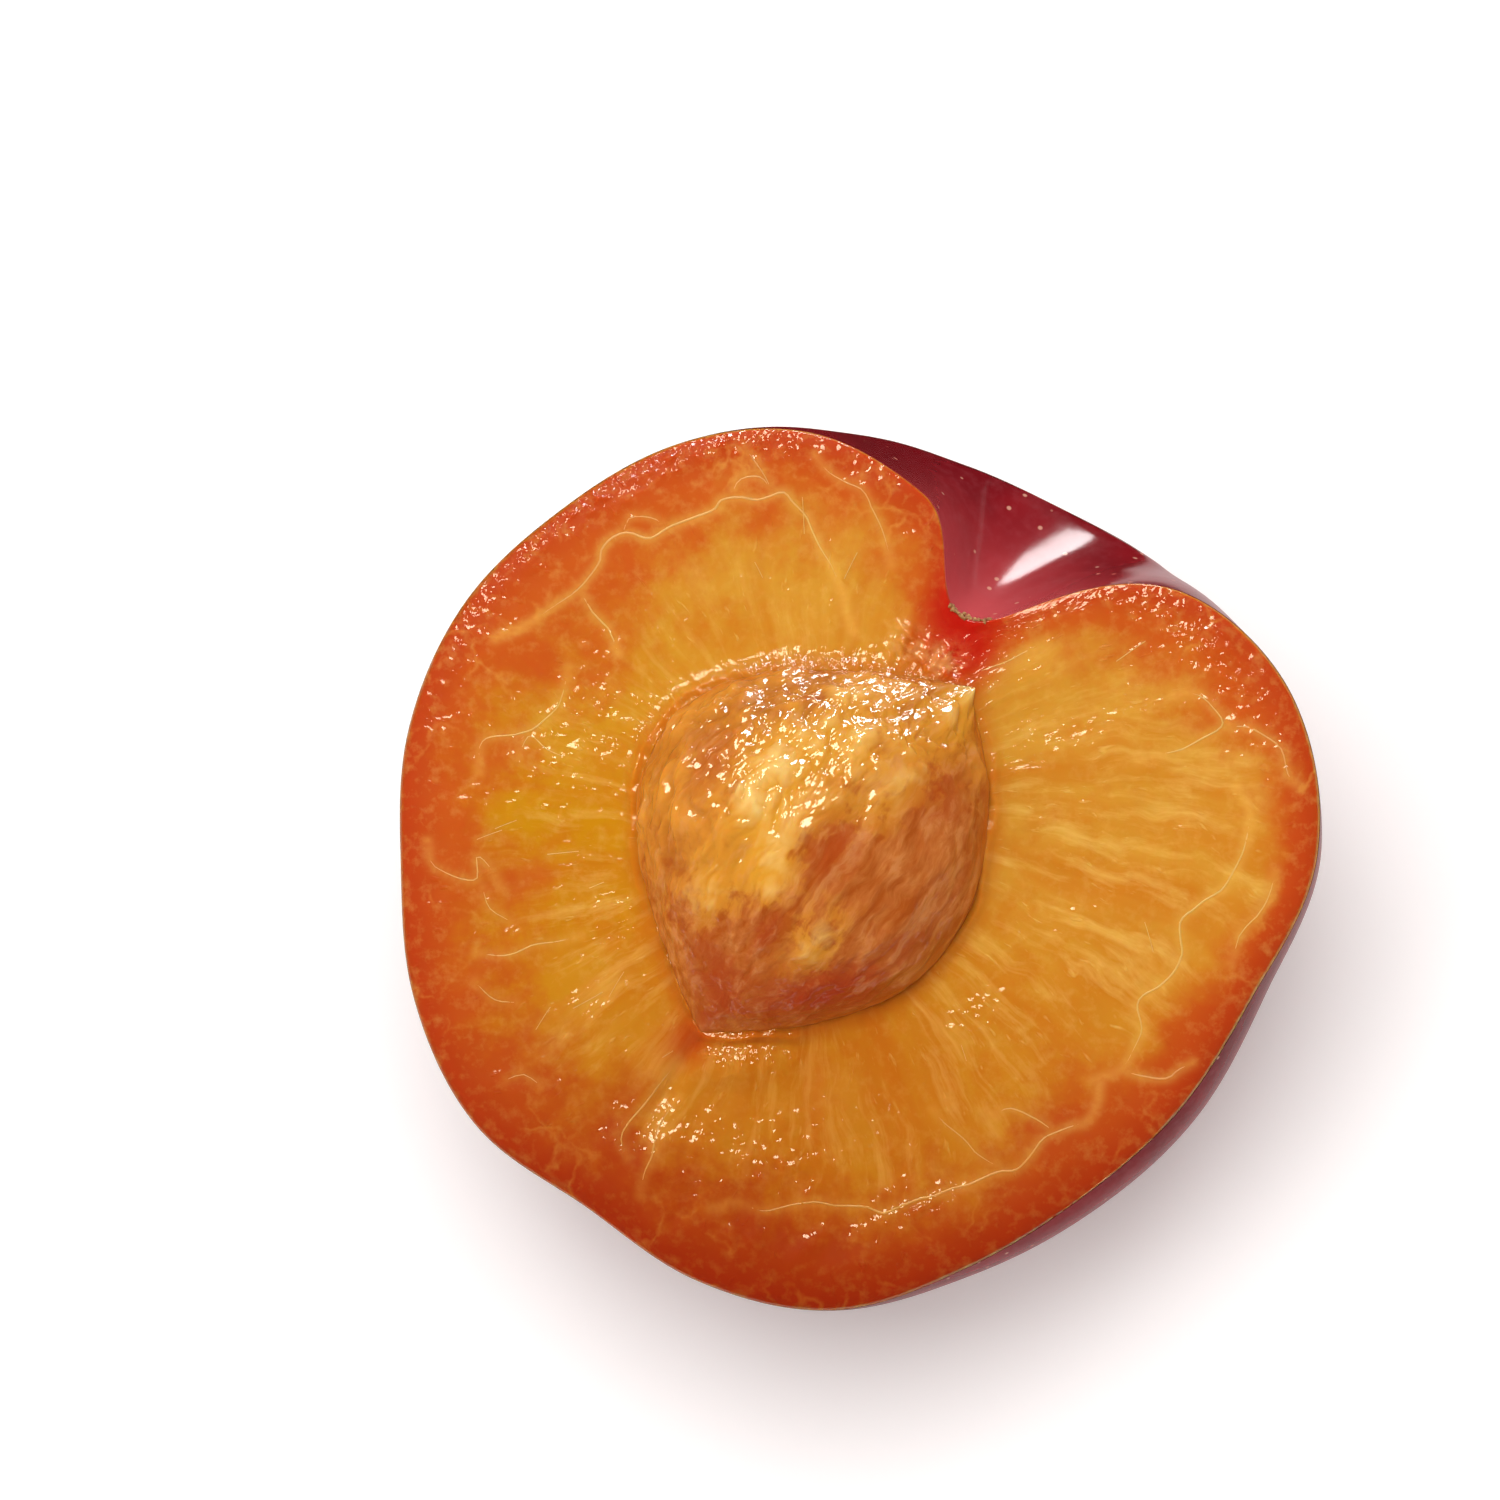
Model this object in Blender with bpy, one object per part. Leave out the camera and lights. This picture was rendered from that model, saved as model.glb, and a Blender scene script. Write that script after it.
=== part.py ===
"""Half of a plum with its stone, cut along the seam and lying on its rounded back.

Two solids: the fruit half, which is flesh and skin grown together, and the stone that sits in it.
The half is shaped in the fruit's own frame, where the cut face is the XY plane, the stem end points
to +Y and the rounded back to -Z. It is then turned and tilted into the pose in which it rests, with
the origin on the table under the middle of the part. Lengths are in metres.
"""

import math

import bmesh
import bpy
from mathutils import Matrix, Vector

MM = 0.001

# Cut face: its radius from the centre every 18 degrees, anticlockwise from the stem end, as it would
# be with no stem hollow.
FACE_RADII = [r * MM for r in (
    26.7, 26.7, 27.6, 27.4, 27.0, 27.3, 27.0, 26.3, 26.9, 27.1,
    25.9, 26.9, 27.4, 26.2, 25.7, 26.3, 27.3, 30.0, 30.3, 28.2,
)]
BACK_DEPTH = 25.5 * MM  # from the cut face to the deepest point of the back
BACK_FULLNESS = 0.9  # 1 is an ellipsoid, and less is a fuller back
BACK_SHIFT = Vector((-0.4 * MM, 2.2 * MM, 0))  # the back's middle, from the face's centre

# Stem hollow: how far it reaches in from the shoulders. Each side's slope is a sum of bells, given as
# share, width and sharpness: the big shoulder to the left has a steep wall and then a slow rise.
HOLLOW_REACH = 9.4 * MM
HOLLOW_ANGLE = math.radians(5)
HOLLOW_LEFT = ((0.5, math.radians(9.5), 3.5), (0.5, math.radians(29), 1.8))
HOLLOW_RIGHT = ((1, math.radians(15.3), 2.2),)
HOLLOW_DEPTH = 11 * MM  # where the far wall of the hollow meets the shoulder
HOLLOW_WALL = (2.6, 1.15)  # how that wall bends, and how softly it ends

# Swellings of the back: name, angle from the stem, half-width in degrees, height, depth of the crest.
SWELLINGS = (
    ("right shoulder", math.radians(346), math.radians(14), 0.6 * MM, 8 * MM),
    ("full cheek", math.radians(256), math.radians(38), 1.7 * MM, 6 * MM),
    ("flat side", math.radians(326), math.radians(16), -1.0 * MM, 8 * MM),
)

# Stone: half its width, length and thickness. Its ends lie to the right of its middle.
STONE_HALF = Vector((10.8 * MM, 13.4 * MM, 6.6 * MM))
STONE_BOW = 2.2 * MM
STONE_CENTRE = Vector((-1.8 * MM, 0.6 * MM, 0))
STONE_TURN = math.radians(-3)
STONE_GAP = 0.3 * MM

# Resting pose.
STEM_TURN = math.radians(-35)  # the stem end's direction, from the part's +Y
FACE_TILT = math.radians(9)  # the cut face leans this far towards -Y
FLAT_DEPTH = 0.6 * MM  # the pressed flat spot that the half rests on

FACE_STEPS, BACK_STEPS = 120, 24
STONE_STEPS, STONE_RINGS = 36, 20


def clear_scene():
    """Removes what the scene holds."""
    for item in list(bpy.data.objects):
        bpy.data.objects.remove(item)


def new_collection(name):
    """A collection linked into the scene."""
    made = bpy.data.collections.new(name)
    bpy.context.scene.collection.children.link(made)
    return made


def new_material(name, colour, roughness):
    """A plain Principled material; nothing on a fruit is metallic."""
    made = bpy.data.materials.new(name)
    made.use_nodes = True
    shader = made.node_tree.nodes["Principled BSDF"]
    shader.inputs["Base Color"].default_value = (*colour, 1)
    shader.inputs["Roughness"].default_value = roughness
    shader.inputs["Metallic"].default_value = 0
    made.diffuse_color = (*colour, 1)
    return made


def face_radius(angle):
    """Radius of the face at an angle from the stem, on a smooth closed curve through FACE_RADII."""
    count = len(FACE_RADII)
    place = (angle / math.tau % 1) * count
    first = math.floor(place)
    t = place - first
    before, start, end, after = (FACE_RADII[(first + k) % count] for k in (-1, 0, 1, 2))
    bend = (2 * before - 5 * start + 4 * end - after) * t * t
    twist = (3 * (start - end) + after - before) * t ** 3
    return 0.5 * (2 * start + (end - before) * t + bend + twist)


def turn_between(angle, centre):
    """The signed turn from centre to angle, from -pi to pi."""
    return (angle - centre + math.pi) % math.tau - math.pi


def hollow(angle, depth):
    """How far the stem hollow reaches in, at an angle and at a depth under the cut face."""
    turn = turn_between(angle, HOLLOW_ANGLE)
    side = HOLLOW_LEFT if turn > 0 else HOLLOW_RIGHT
    across = sum(share * math.exp(-(abs(turn) / width) ** sharpness) for share, width, sharpness in side)
    bend, ease = HOLLOW_WALL
    wall = max(0.0, 1 - (depth / HOLLOW_DEPTH) ** bend) ** ease
    return HOLLOW_REACH * across * wall


def swelling(angle, depth):
    """How far the back bulges beyond its plain shape, at an angle and a depth."""
    total = 0
    for _, centre, width, height, crest in SWELLINGS:
        across = math.exp(-(turn_between(angle, centre) / width) ** 2)
        total += height * across * depth / crest * math.exp(1 - depth / crest)
    return total


def fruit_point(direction):
    """The fruit's surface in a direction from the face's centre, for a unit vector with z <= 0."""
    level = math.hypot(direction.x, direction.y)
    angle = math.atan2(-direction.x, direction.y)
    depth = -BACK_DEPTH * direction.z
    radius = face_radius(angle) * level ** BACK_FULLNESS
    radius += (swelling(angle, depth) - hollow(angle, depth)) * level
    outward = Vector((-math.sin(angle), math.cos(angle), 0))
    return outward * radius - BACK_SHIFT * direction.z - Vector((0, 0, depth))


def fruit_mesh():
    """The half fruit before the stone's socket and the flat spot are cut: a shaped half sphere."""
    shape = bmesh.new()
    bmesh.ops.create_uvsphere(shape, u_segments=FACE_STEPS, v_segments=2 * BACK_STEPS, radius=1)
    upper = [v for v in shape.verts if v.co.z > 1e-4]
    bmesh.ops.delete(shape, geom=upper, context="VERTS")
    for vert in shape.verts:
        vert.co = fruit_point(vert.co.normalized())
    rim = [edge for edge in shape.edges if edge.is_boundary]
    cut_face = bmesh.ops.contextual_create(shape, geom=rim)["faces"]
    for face in cut_face:
        face.material_index = 1
    bmesh.ops.recalc_face_normals(shape, faces=shape.faces)
    return mesh_from(shape, "plum_half")


def stone_mesh(name, gap=0.0):
    """The stone, a flattened and bowed almond, grown by a gap where it is the socket's cutter."""
    shape = bmesh.new()
    bmesh.ops.create_uvsphere(shape, u_segments=STONE_STEPS, v_segments=STONE_RINGS, radius=1)
    bmesh.ops.rotate(shape, verts=shape.verts, matrix=Matrix.Rotation(math.pi / 2, 3, "X"))
    half = STONE_HALF + Vector((gap, gap, gap))
    for vert in shape.verts:
        x, y, z = vert.co
        narrow = max(1 - y * y, 1e-6) ** 0.5
        vert.co = Vector((x * half.x * narrow + STONE_BOW * y * y, y * half.y, z * half.z * narrow))
    bmesh.ops.rotate(shape, verts=shape.verts, matrix=Matrix.Rotation(STONE_TURN, 3, "Z"))
    bmesh.ops.translate(shape, verts=shape.verts, vec=STONE_CENTRE)
    bmesh.ops.recalc_face_normals(shape, faces=shape.faces)
    return mesh_from(shape, name)


def mesh_from(shape, name):
    """Turns a bmesh into a smooth-shaded mesh with sharp edges kept."""
    mesh = bpy.data.meshes.new(name)
    shape.to_mesh(mesh)
    shape.free()
    mesh.shade_smooth()
    mesh.set_sharp_from_angle(angle=math.radians(40))
    return mesh


def table_mesh():
    """A block under the table's surface, which cuts the flat spot."""
    shape = bmesh.new()
    bmesh.ops.create_cube(shape, size=1)
    bmesh.ops.scale(shape, verts=shape.verts, vec=(90 * MM, 90 * MM, 20 * MM))
    bmesh.ops.translate(shape, verts=shape.verts, vec=(0, 0, -10 * MM))
    return mesh_from(shape, "table_block")


def resting_matrix(fruit):
    """Turns and tilts the half, and sets it down with the origin under its middle."""
    turn = Matrix.Rotation(FACE_TILT, 4, "X") @ Matrix.Rotation(STEM_TURN, 4, "Z")
    placed = [turn @ vert.co for vert in fruit.vertices]
    low = Vector(min(p[k] for p in placed) for k in range(3))
    high = Vector(max(p[k] for p in placed) for k in range(3))
    middle = (low + high) / 2
    return Matrix.Translation((-middle.x, -middle.y, -low.z - FLAT_DEPTH)) @ turn


def add_object(name, mesh, collection, materials=(), cutter=False):
    """Links a mesh into a collection as an object; a cutter is left out of renders."""
    made = bpy.data.objects.new(name, mesh)
    collection.objects.link(made)
    for material in materials:
        mesh.materials.append(material)
    made.hide_render = cutter
    made.display_type = "WIRE" if cutter else "TEXTURED"
    return made


def cut_with(target, cutter):
    """Cuts a closed mesh out of an object."""
    modifier = target.modifiers.new(f"cut_{cutter.name}", "BOOLEAN")
    modifier.operation = "DIFFERENCE"
    modifier.object = cutter


def build():
    """Makes the fruit half and the stone, and sets them down in their resting pose."""
    clear_scene()
    parts = new_collection("plum")
    cutters = new_collection("plum_cutters")
    skin = new_material("plum_skin", (0.17, 0.005, 0.012), 0.22)
    flesh = new_material("plum_flesh", (0.78, 0.27, 0.02), 0.3)
    woody = new_material("plum_stone", (0.52, 0.2, 0.04), 0.35)

    fruit = add_object("plum_half", fruit_mesh(), parts, (skin, flesh))
    stone = add_object("stone", stone_mesh("stone"), parts, (woody,))
    socket = add_object("socket", stone_mesh("socket", STONE_GAP), cutters, cutter=True)
    table = add_object("table", table_mesh(), cutters, cutter=True)

    pose = bpy.data.objects.new("resting_pose", None)
    parts.objects.link(pose)
    pose.matrix_world = resting_matrix(fruit.data)
    for item in (fruit, stone, socket):
        item.parent = pose
    cut_with(fruit, socket)
    cut_with(fruit, table)


build()
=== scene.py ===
"""Half of a ripe red plum, cut along its seam, lying on its round back with the stone in its socket.

The fruit is worked out in its own frame, where the cut face is the XY plane, the stem end points to
+Y and the back to -Z, by the same law of shape as the CAD solids. One matrix then sets it down.
Angles on the face run anticlockwise from the stem end, as seen from the stone. A share is the part
of the way from the stone's edge (0) to the rim (1). Lengths are in metres unless a name says mm.
"""

import logging
import math
import random
from dataclasses import dataclass, field
from enum import Enum

import bmesh
import bpy
import numpy as np
from mathutils import Matrix, Vector, kdtree, noise


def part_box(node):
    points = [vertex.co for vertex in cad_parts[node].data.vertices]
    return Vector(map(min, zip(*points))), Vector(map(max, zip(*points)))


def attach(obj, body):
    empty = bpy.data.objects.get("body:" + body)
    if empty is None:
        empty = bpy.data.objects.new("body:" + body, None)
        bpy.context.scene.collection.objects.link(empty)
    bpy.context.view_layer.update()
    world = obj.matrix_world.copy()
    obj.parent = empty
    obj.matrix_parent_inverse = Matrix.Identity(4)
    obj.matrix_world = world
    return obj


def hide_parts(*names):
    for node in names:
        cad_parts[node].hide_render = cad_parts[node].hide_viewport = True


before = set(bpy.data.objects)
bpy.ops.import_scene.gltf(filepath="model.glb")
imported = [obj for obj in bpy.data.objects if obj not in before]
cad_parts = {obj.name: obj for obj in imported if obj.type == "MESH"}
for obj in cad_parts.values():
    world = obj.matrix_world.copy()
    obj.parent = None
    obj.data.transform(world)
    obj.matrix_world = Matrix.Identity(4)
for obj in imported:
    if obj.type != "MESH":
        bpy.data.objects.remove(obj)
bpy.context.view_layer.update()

MM = 0.001
log = logging.getLogger("plum")


class Slot(Enum):
    """The record's material slots."""

    FLESH = "plum_flesh"
    SKIN = "plum_skin"
    STONE = "plum_stone"


def linear(code: str) -> tuple[float, float, float, float]:
    """Turns an sRGB hex colour into the linear RGBA that Blender works in.

    Args:
        code: Six hex digits, such as "d8902c".

    Returns:
        Linear red, green, blue and an alpha of 1.
    """
    shares = [int(code[k:k + 2], 16) / 255 for k in (0, 2, 4)]
    bent = [s / 12.92 if s <= 0.04045 else ((s + 0.055) / 1.055) ** 2.4 for s in shares]
    return (*bent, 1.0)


def node(tree: bpy.types.NodeTree, kind: str, inputs: dict | None = None, out: str | None = None,
         **settings) -> bpy.types.NodeSocket:
    """Adds a node with its settings, and fills or links its inputs.

    Args:
        tree: The node tree to add to.
        kind: The node's type name.
        inputs: Values or sockets, by input name or place.
        out: Name of the output to hand back; the first one in use if left out.
        settings: The node's own properties.

    Returns:
        One output socket of the new node.
    """
    made = tree.nodes.new(kind)
    for name, value in settings.items():
        setattr(made, name, value)
    for name, value in (inputs or {}).items():
        if isinstance(name, int):
            socket = made.inputs[name]
        else:
            socket = next(s for s in made.inputs if s.enabled and s.name == name)
        if isinstance(value, bpy.types.NodeSocket):
            tree.links.new(value, socket)
        else:
            socket.default_value = value
    if out:
        return made.outputs[out]
    return next((s for s in made.outputs if s.enabled), None)


def turn_between(angle: np.ndarray, centre: float) -> np.ndarray:
    """The signed turn from centre to each angle, from -pi to pi."""
    return (angle - centre + math.pi) % math.tau - math.pi


def around(angle: np.ndarray, values: tuple, start: float) -> np.ndarray:
    """Reads a ring of evenly spaced values at each angle.

    Args:
        angle: Angles in radians.
        values: The ring's values, anticlockwise.
        start: Angle of the first value, in degrees.

    Returns:
        The values between, joined by straight lines.
    """
    places = np.radians(start + 360 / len(values) * np.arange(len(values)))
    return np.interp(angle, places, values, period=math.tau)


def smooth(value: np.ndarray, low: float, high: float) -> np.ndarray:
    """A soft step from 0 at low to 1 at high."""
    share = np.clip((value - low) / (high - low), 0, 1)
    return share * share * (3 - 2 * share)


def bell(value: np.ndarray, width: float) -> np.ndarray:
    """A bell curve, 1 at zero."""
    return np.exp(-(value / width) ** 2)


class Grain(Enum):
    """Kinds of roughness."""

    SOFT = "soft lumps"
    BILLOWY = "round bumps between sharp creases"


def rough(points: np.ndarray, size: float, octaves: int, seed: float,
          grain: Grain = Grain.SOFT) -> np.ndarray:
    """Fractal noise at each point, roughly from -1 to 1.

    Args:
        points: An array of points, one to a row.
        size: Width of the largest lumps.
        octaves: How many finer layers are added.
        seed: Shifts the pattern.
        grain: Its kind.

    Returns:
        One value for each point.
    """
    places = (points / size + seed).tolist()
    if grain is Grain.SOFT:
        return np.array([noise.fractal(place, 1.0, 2.0, octaves) for place in places])
    return 1 - np.array([noise.ridged_multi_fractal(p, 1.0, 2.0, octaves, 1.0, 2.0) for p in places])


def warped(points: np.ndarray, size: float, reach: float) -> np.ndarray:
    """Points pushed about by soft noise, so that a pattern read there wanders.

    Args:
        points: An array of points, one to a row.
        size: Width of the wanderings.
        reach: How far they go.

    Returns:
        The pushed points.
    """
    places = (points / size).tolist()
    return points + reach * np.array([tuple(noise.noise_vector(place)) for place in places])


def read_points(mesh: bpy.types.Mesh) -> np.ndarray:
    """The mesh's vertices, one to a row."""
    flat = np.empty(len(mesh.vertices) * 3)
    mesh.vertices.foreach_get("co", flat)
    return flat.reshape(-1, 3)


def write_points(mesh: bpy.types.Mesh, points: np.ndarray) -> None:
    """Moves the mesh's vertices."""
    mesh.vertices.foreach_set("co", points.ravel())
    mesh.update()


def write_value(mesh: bpy.types.Mesh, name: str, values: np.ndarray) -> None:
    """Stores a number or a vector at each vertex, for the materials to read."""
    if values.ndim == 1:
        mesh.attributes.new(name, "FLOAT", "POINT").data.foreach_set("value", values)
    else:
        mesh.attributes.new(name, "FLOAT_VECTOR", "POINT").data.foreach_set("vector", values.ravel())


def write_bake_map(mesh: bpy.types.Mesh, places: np.ndarray, hidden: np.ndarray) -> None:
    """Lays the piece out flat for baking: what shows fills a disc, and the rest a small one in a corner.

    Args:
        mesh: The mesh to lay out.
        places: A place in the plane for each vertex.
        hidden: For each vertex, whether it touches only hidden faces.
    """
    low, high = places.min(0), places.max(0)
    spread = places - (low + high) / 2
    spread = spread / np.hypot(spread[:, 0], spread[:, 1]).max()
    corners = np.empty(len(mesh.loops), int)
    mesh.loops.foreach_get("vertex_index", corners)
    sides = np.empty(len(mesh.polygons), int)
    mesh.polygons.foreach_get("loop_total", sides)
    starts = np.cumsum(sides) - sides
    unseen = np.repeat(np.maximum.reduceat(hidden[corners], starts), sides)[:, None]
    flat = np.where(unseen, 0.08 + 0.07 * spread[corners], 0.5 + 0.48 * spread[corners])
    mesh.uv_layers.new(name="OFBake").data.foreach_set("uv", flat.ravel())


def moved(points: np.ndarray, matrix: Matrix) -> np.ndarray:
    """The points after a matrix."""
    held = np.array(matrix)
    return points @ held[:3, :3].T + held[:3, 3]


def mesh_from(shape: bmesh.types.BMesh, name: str) -> bpy.types.Mesh:
    """Turns a bmesh into a smooth-shaded mesh and frees it."""
    mesh = bpy.data.meshes.new(name)
    shape.to_mesh(mesh)
    shape.free()
    mesh.shade_smooth()
    return mesh


def globe(name: str, columns: int, rows: int) -> tuple[bpy.types.Mesh, np.ndarray, np.ndarray]:
    """A closed ball of rows and columns, ready to be shaped.

    Args:
        name: The mesh's name.
        columns: Faces round its axis.
        rows: Faces from its top to its bottom.

    Returns:
        The mesh, and each vertex's angle from +Y and row from the top.
    """
    shape = bmesh.new()
    bmesh.ops.create_uvsphere(shape, u_segments=columns, v_segments=rows, radius=1)
    mesh = mesh_from(shape, name)
    points = read_points(mesh)
    angle = np.arctan2(-points[:, 0], points[:, 1])
    row = np.round(np.arccos(np.clip(points[:, 2], -1, 1)) / math.pi * rows)
    return mesh, angle, row


def add_piece(name: str, mesh: bpy.types.Mesh, material: bpy.types.Material,
              replaced: str) -> bpy.types.Object:
    """Links a finished mesh as a piece of the plum.

    Args:
        name: The piece's name.
        mesh: Its mesh, already in place.
        material: Its finish.
        replaced: The CAD node that it stands for.

    Returns:
        The new object.
    """
    made = bpy.data.objects.new(name, mesh)
    bpy.context.scene.collection.objects.link(made)
    mesh.materials.clear()
    mesh.materials.append(material)
    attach(made, "root")
    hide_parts(replaced)
    log.info("%s: %d faces", name, len(mesh.polygons))
    return made


@dataclass(frozen=True)
class FruitForm:
    """The fruit's outside, by the same law as the CAD solid."""

    face_radii_mm: tuple = (26.7, 26.7, 27.6, 27.4, 27.0, 27.3, 27.0, 26.3, 26.9, 27.1,
                            25.9, 26.9, 27.4, 26.2, 25.7, 26.3, 27.3, 30.0, 30.3, 28.2)
    back_depth: float = 25.5 * MM
    back_fullness: float = 0.9
    back_shift: tuple = (-0.4 * MM, 2.2 * MM, 0.0)
    hollow_reach: float = 9.4 * MM
    hollow_angle: float = math.radians(5)
    # The hollow's slopes on each side, as a sum of (share, width, sharpness).
    hollow_left: tuple = ((0.5, math.radians(9.5), 3.5), (0.5, math.radians(29), 1.8))
    hollow_right: tuple = ((1.0, math.radians(15.3), 2.2),)
    hollow_depth: float = 11 * MM
    hollow_wall: tuple = (2.6, 1.15)
    swellings: tuple = ((346, 14, 0.6, 8), (256, 38, 1.7, 6), (326, 16, -1.0, 8))
    stem_turn: float = math.radians(-35)
    face_tilt: float = math.radians(9)
    flat_depth: float = 0.6 * MM
    steps: int = 120
    back_steps: int = 24

    def face_radius(self, angle: np.ndarray) -> np.ndarray:
        """Radius of the face at each angle, on a smooth closed curve, with no stem hollow."""
        ring = np.array(self.face_radii_mm) * MM
        place = (angle / math.tau % 1) * len(ring)
        first = np.floor(place).astype(int)
        t = place - first
        before, start, end, after = (ring[(first + k) % len(ring)] for k in (-1, 0, 1, 2))
        bend = (2 * before - 5 * start + 4 * end - after) * t * t
        twist = (3 * (start - end) + after - before) * t ** 3
        return 0.5 * (2 * start + (end - before) * t + bend + twist)

    def hollow(self, angle: np.ndarray, depth: np.ndarray) -> np.ndarray:
        """How far the stem hollow reaches in, at each angle and depth under the face."""
        turn = turn_between(angle, self.hollow_angle)
        left, right = (sum(share * np.exp(-(np.abs(turn) / width) ** sharpness)
                           for share, width, sharpness in side)
                       for side in (self.hollow_left, self.hollow_right))
        across = np.where(turn > 0, left, right)
        bend, ease = self.hollow_wall
        wall = np.maximum(0, 1 - (depth / self.hollow_depth) ** bend) ** ease
        return self.hollow_reach * across * wall

    def swelling(self, angle: np.ndarray, depth: np.ndarray) -> np.ndarray:
        """How far the back bulges beyond its plain shape."""
        total = np.zeros_like(angle)
        for centre, width, height, crest in self.swellings:
            across = bell(turn_between(angle, math.radians(centre)), math.radians(width))
            share = depth / (crest * MM)
            total += height * MM * across * share * np.exp(1 - share)
        return total

    def outside(self, angle: np.ndarray, level: np.ndarray, inset: float = 0.0) -> np.ndarray:
        """Points of the fruit's outside.

        Args:
            angle: Angles from the stem end.
            level: 1 at the rim, 0 at the deepest point of the back.
            inset: How far inside the surface to stay.

        Returns:
            The points in the fruit's own frame.
        """
        fall = np.sqrt(np.maximum(0, 1 - level ** 2))
        depth = self.back_depth * fall
        radius = self.face_radius(angle) * level ** self.back_fullness
        radius = radius + (self.swelling(angle, depth) - self.hollow(angle, depth)) * level
        radius = np.maximum(0, radius - inset * level ** self.back_fullness)
        lower = depth - inset * fall
        return np.stack((
            -np.sin(angle) * radius + self.back_shift[0] * fall,
            np.cos(angle) * radius + self.back_shift[1] * fall,
            -lower), axis=1)

    def resting(self) -> Matrix:
        """The matrix that turns and tilts the half and sets it down where the CAD solid lies."""
        around_axis = np.arange(self.steps) * math.tau / self.steps
        down = np.sin(np.arange(self.back_steps + 1) / self.back_steps * math.pi / 2)
        angle, level = (grid.ravel() for grid in np.meshgrid(around_axis, down))
        turn = Matrix.Rotation(self.face_tilt, 4, "X") @ Matrix.Rotation(self.stem_turn, 4, "Z")
        placed = moved(self.outside(angle, level), turn)
        low, high = placed.min(0), placed.max(0)
        box_low, box_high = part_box("plum_half")
        middle = (Vector(low) + Vector(high)) / 2
        seat = (box_low + box_high) / 2
        shift = (seat.x - middle.x, seat.y - middle.y, box_low.z - low[2] - self.flat_depth)
        return Matrix.Translation(shift) @ turn


@dataclass(frozen=True)
class StoneForm:
    """The stone's plain shape and place, by the same law as the CAD solid."""

    half: tuple = (10.8 * MM, 13.4 * MM, 6.6 * MM)
    taper: float = 1.0
    centre: tuple = (-1.8 * MM, 0.6 * MM, 0.0)
    turn: float = math.radians(-3)
    bow: float = 2.2 * MM  # how far the tips lie to the right of the middle
    film: float = 0.02 * MM  # between the stone and the flesh that grips it

    def placed(self, unit: np.ndarray, grown: float = 0.0) -> np.ndarray:
        """Maps points of a unit ball onto the stone, grown by a gap for the socket."""
        narrow = np.maximum(1 - unit[:, 1] ** 2, 1e-6) ** (self.taper - 0.5)
        shaped = np.stack((
            unit[:, 0] * (self.half[0] + grown) * narrow + self.bow * unit[:, 1] ** 2,
            unit[:, 1] * (self.half[1] + grown),
            unit[:, 2] * (self.half[2] + grown) * narrow), axis=1)
        turn = Matrix.Translation(self.centre) @ Matrix.Rotation(self.turn, 4, "Z")
        return moved(shaped, turn)


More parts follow.
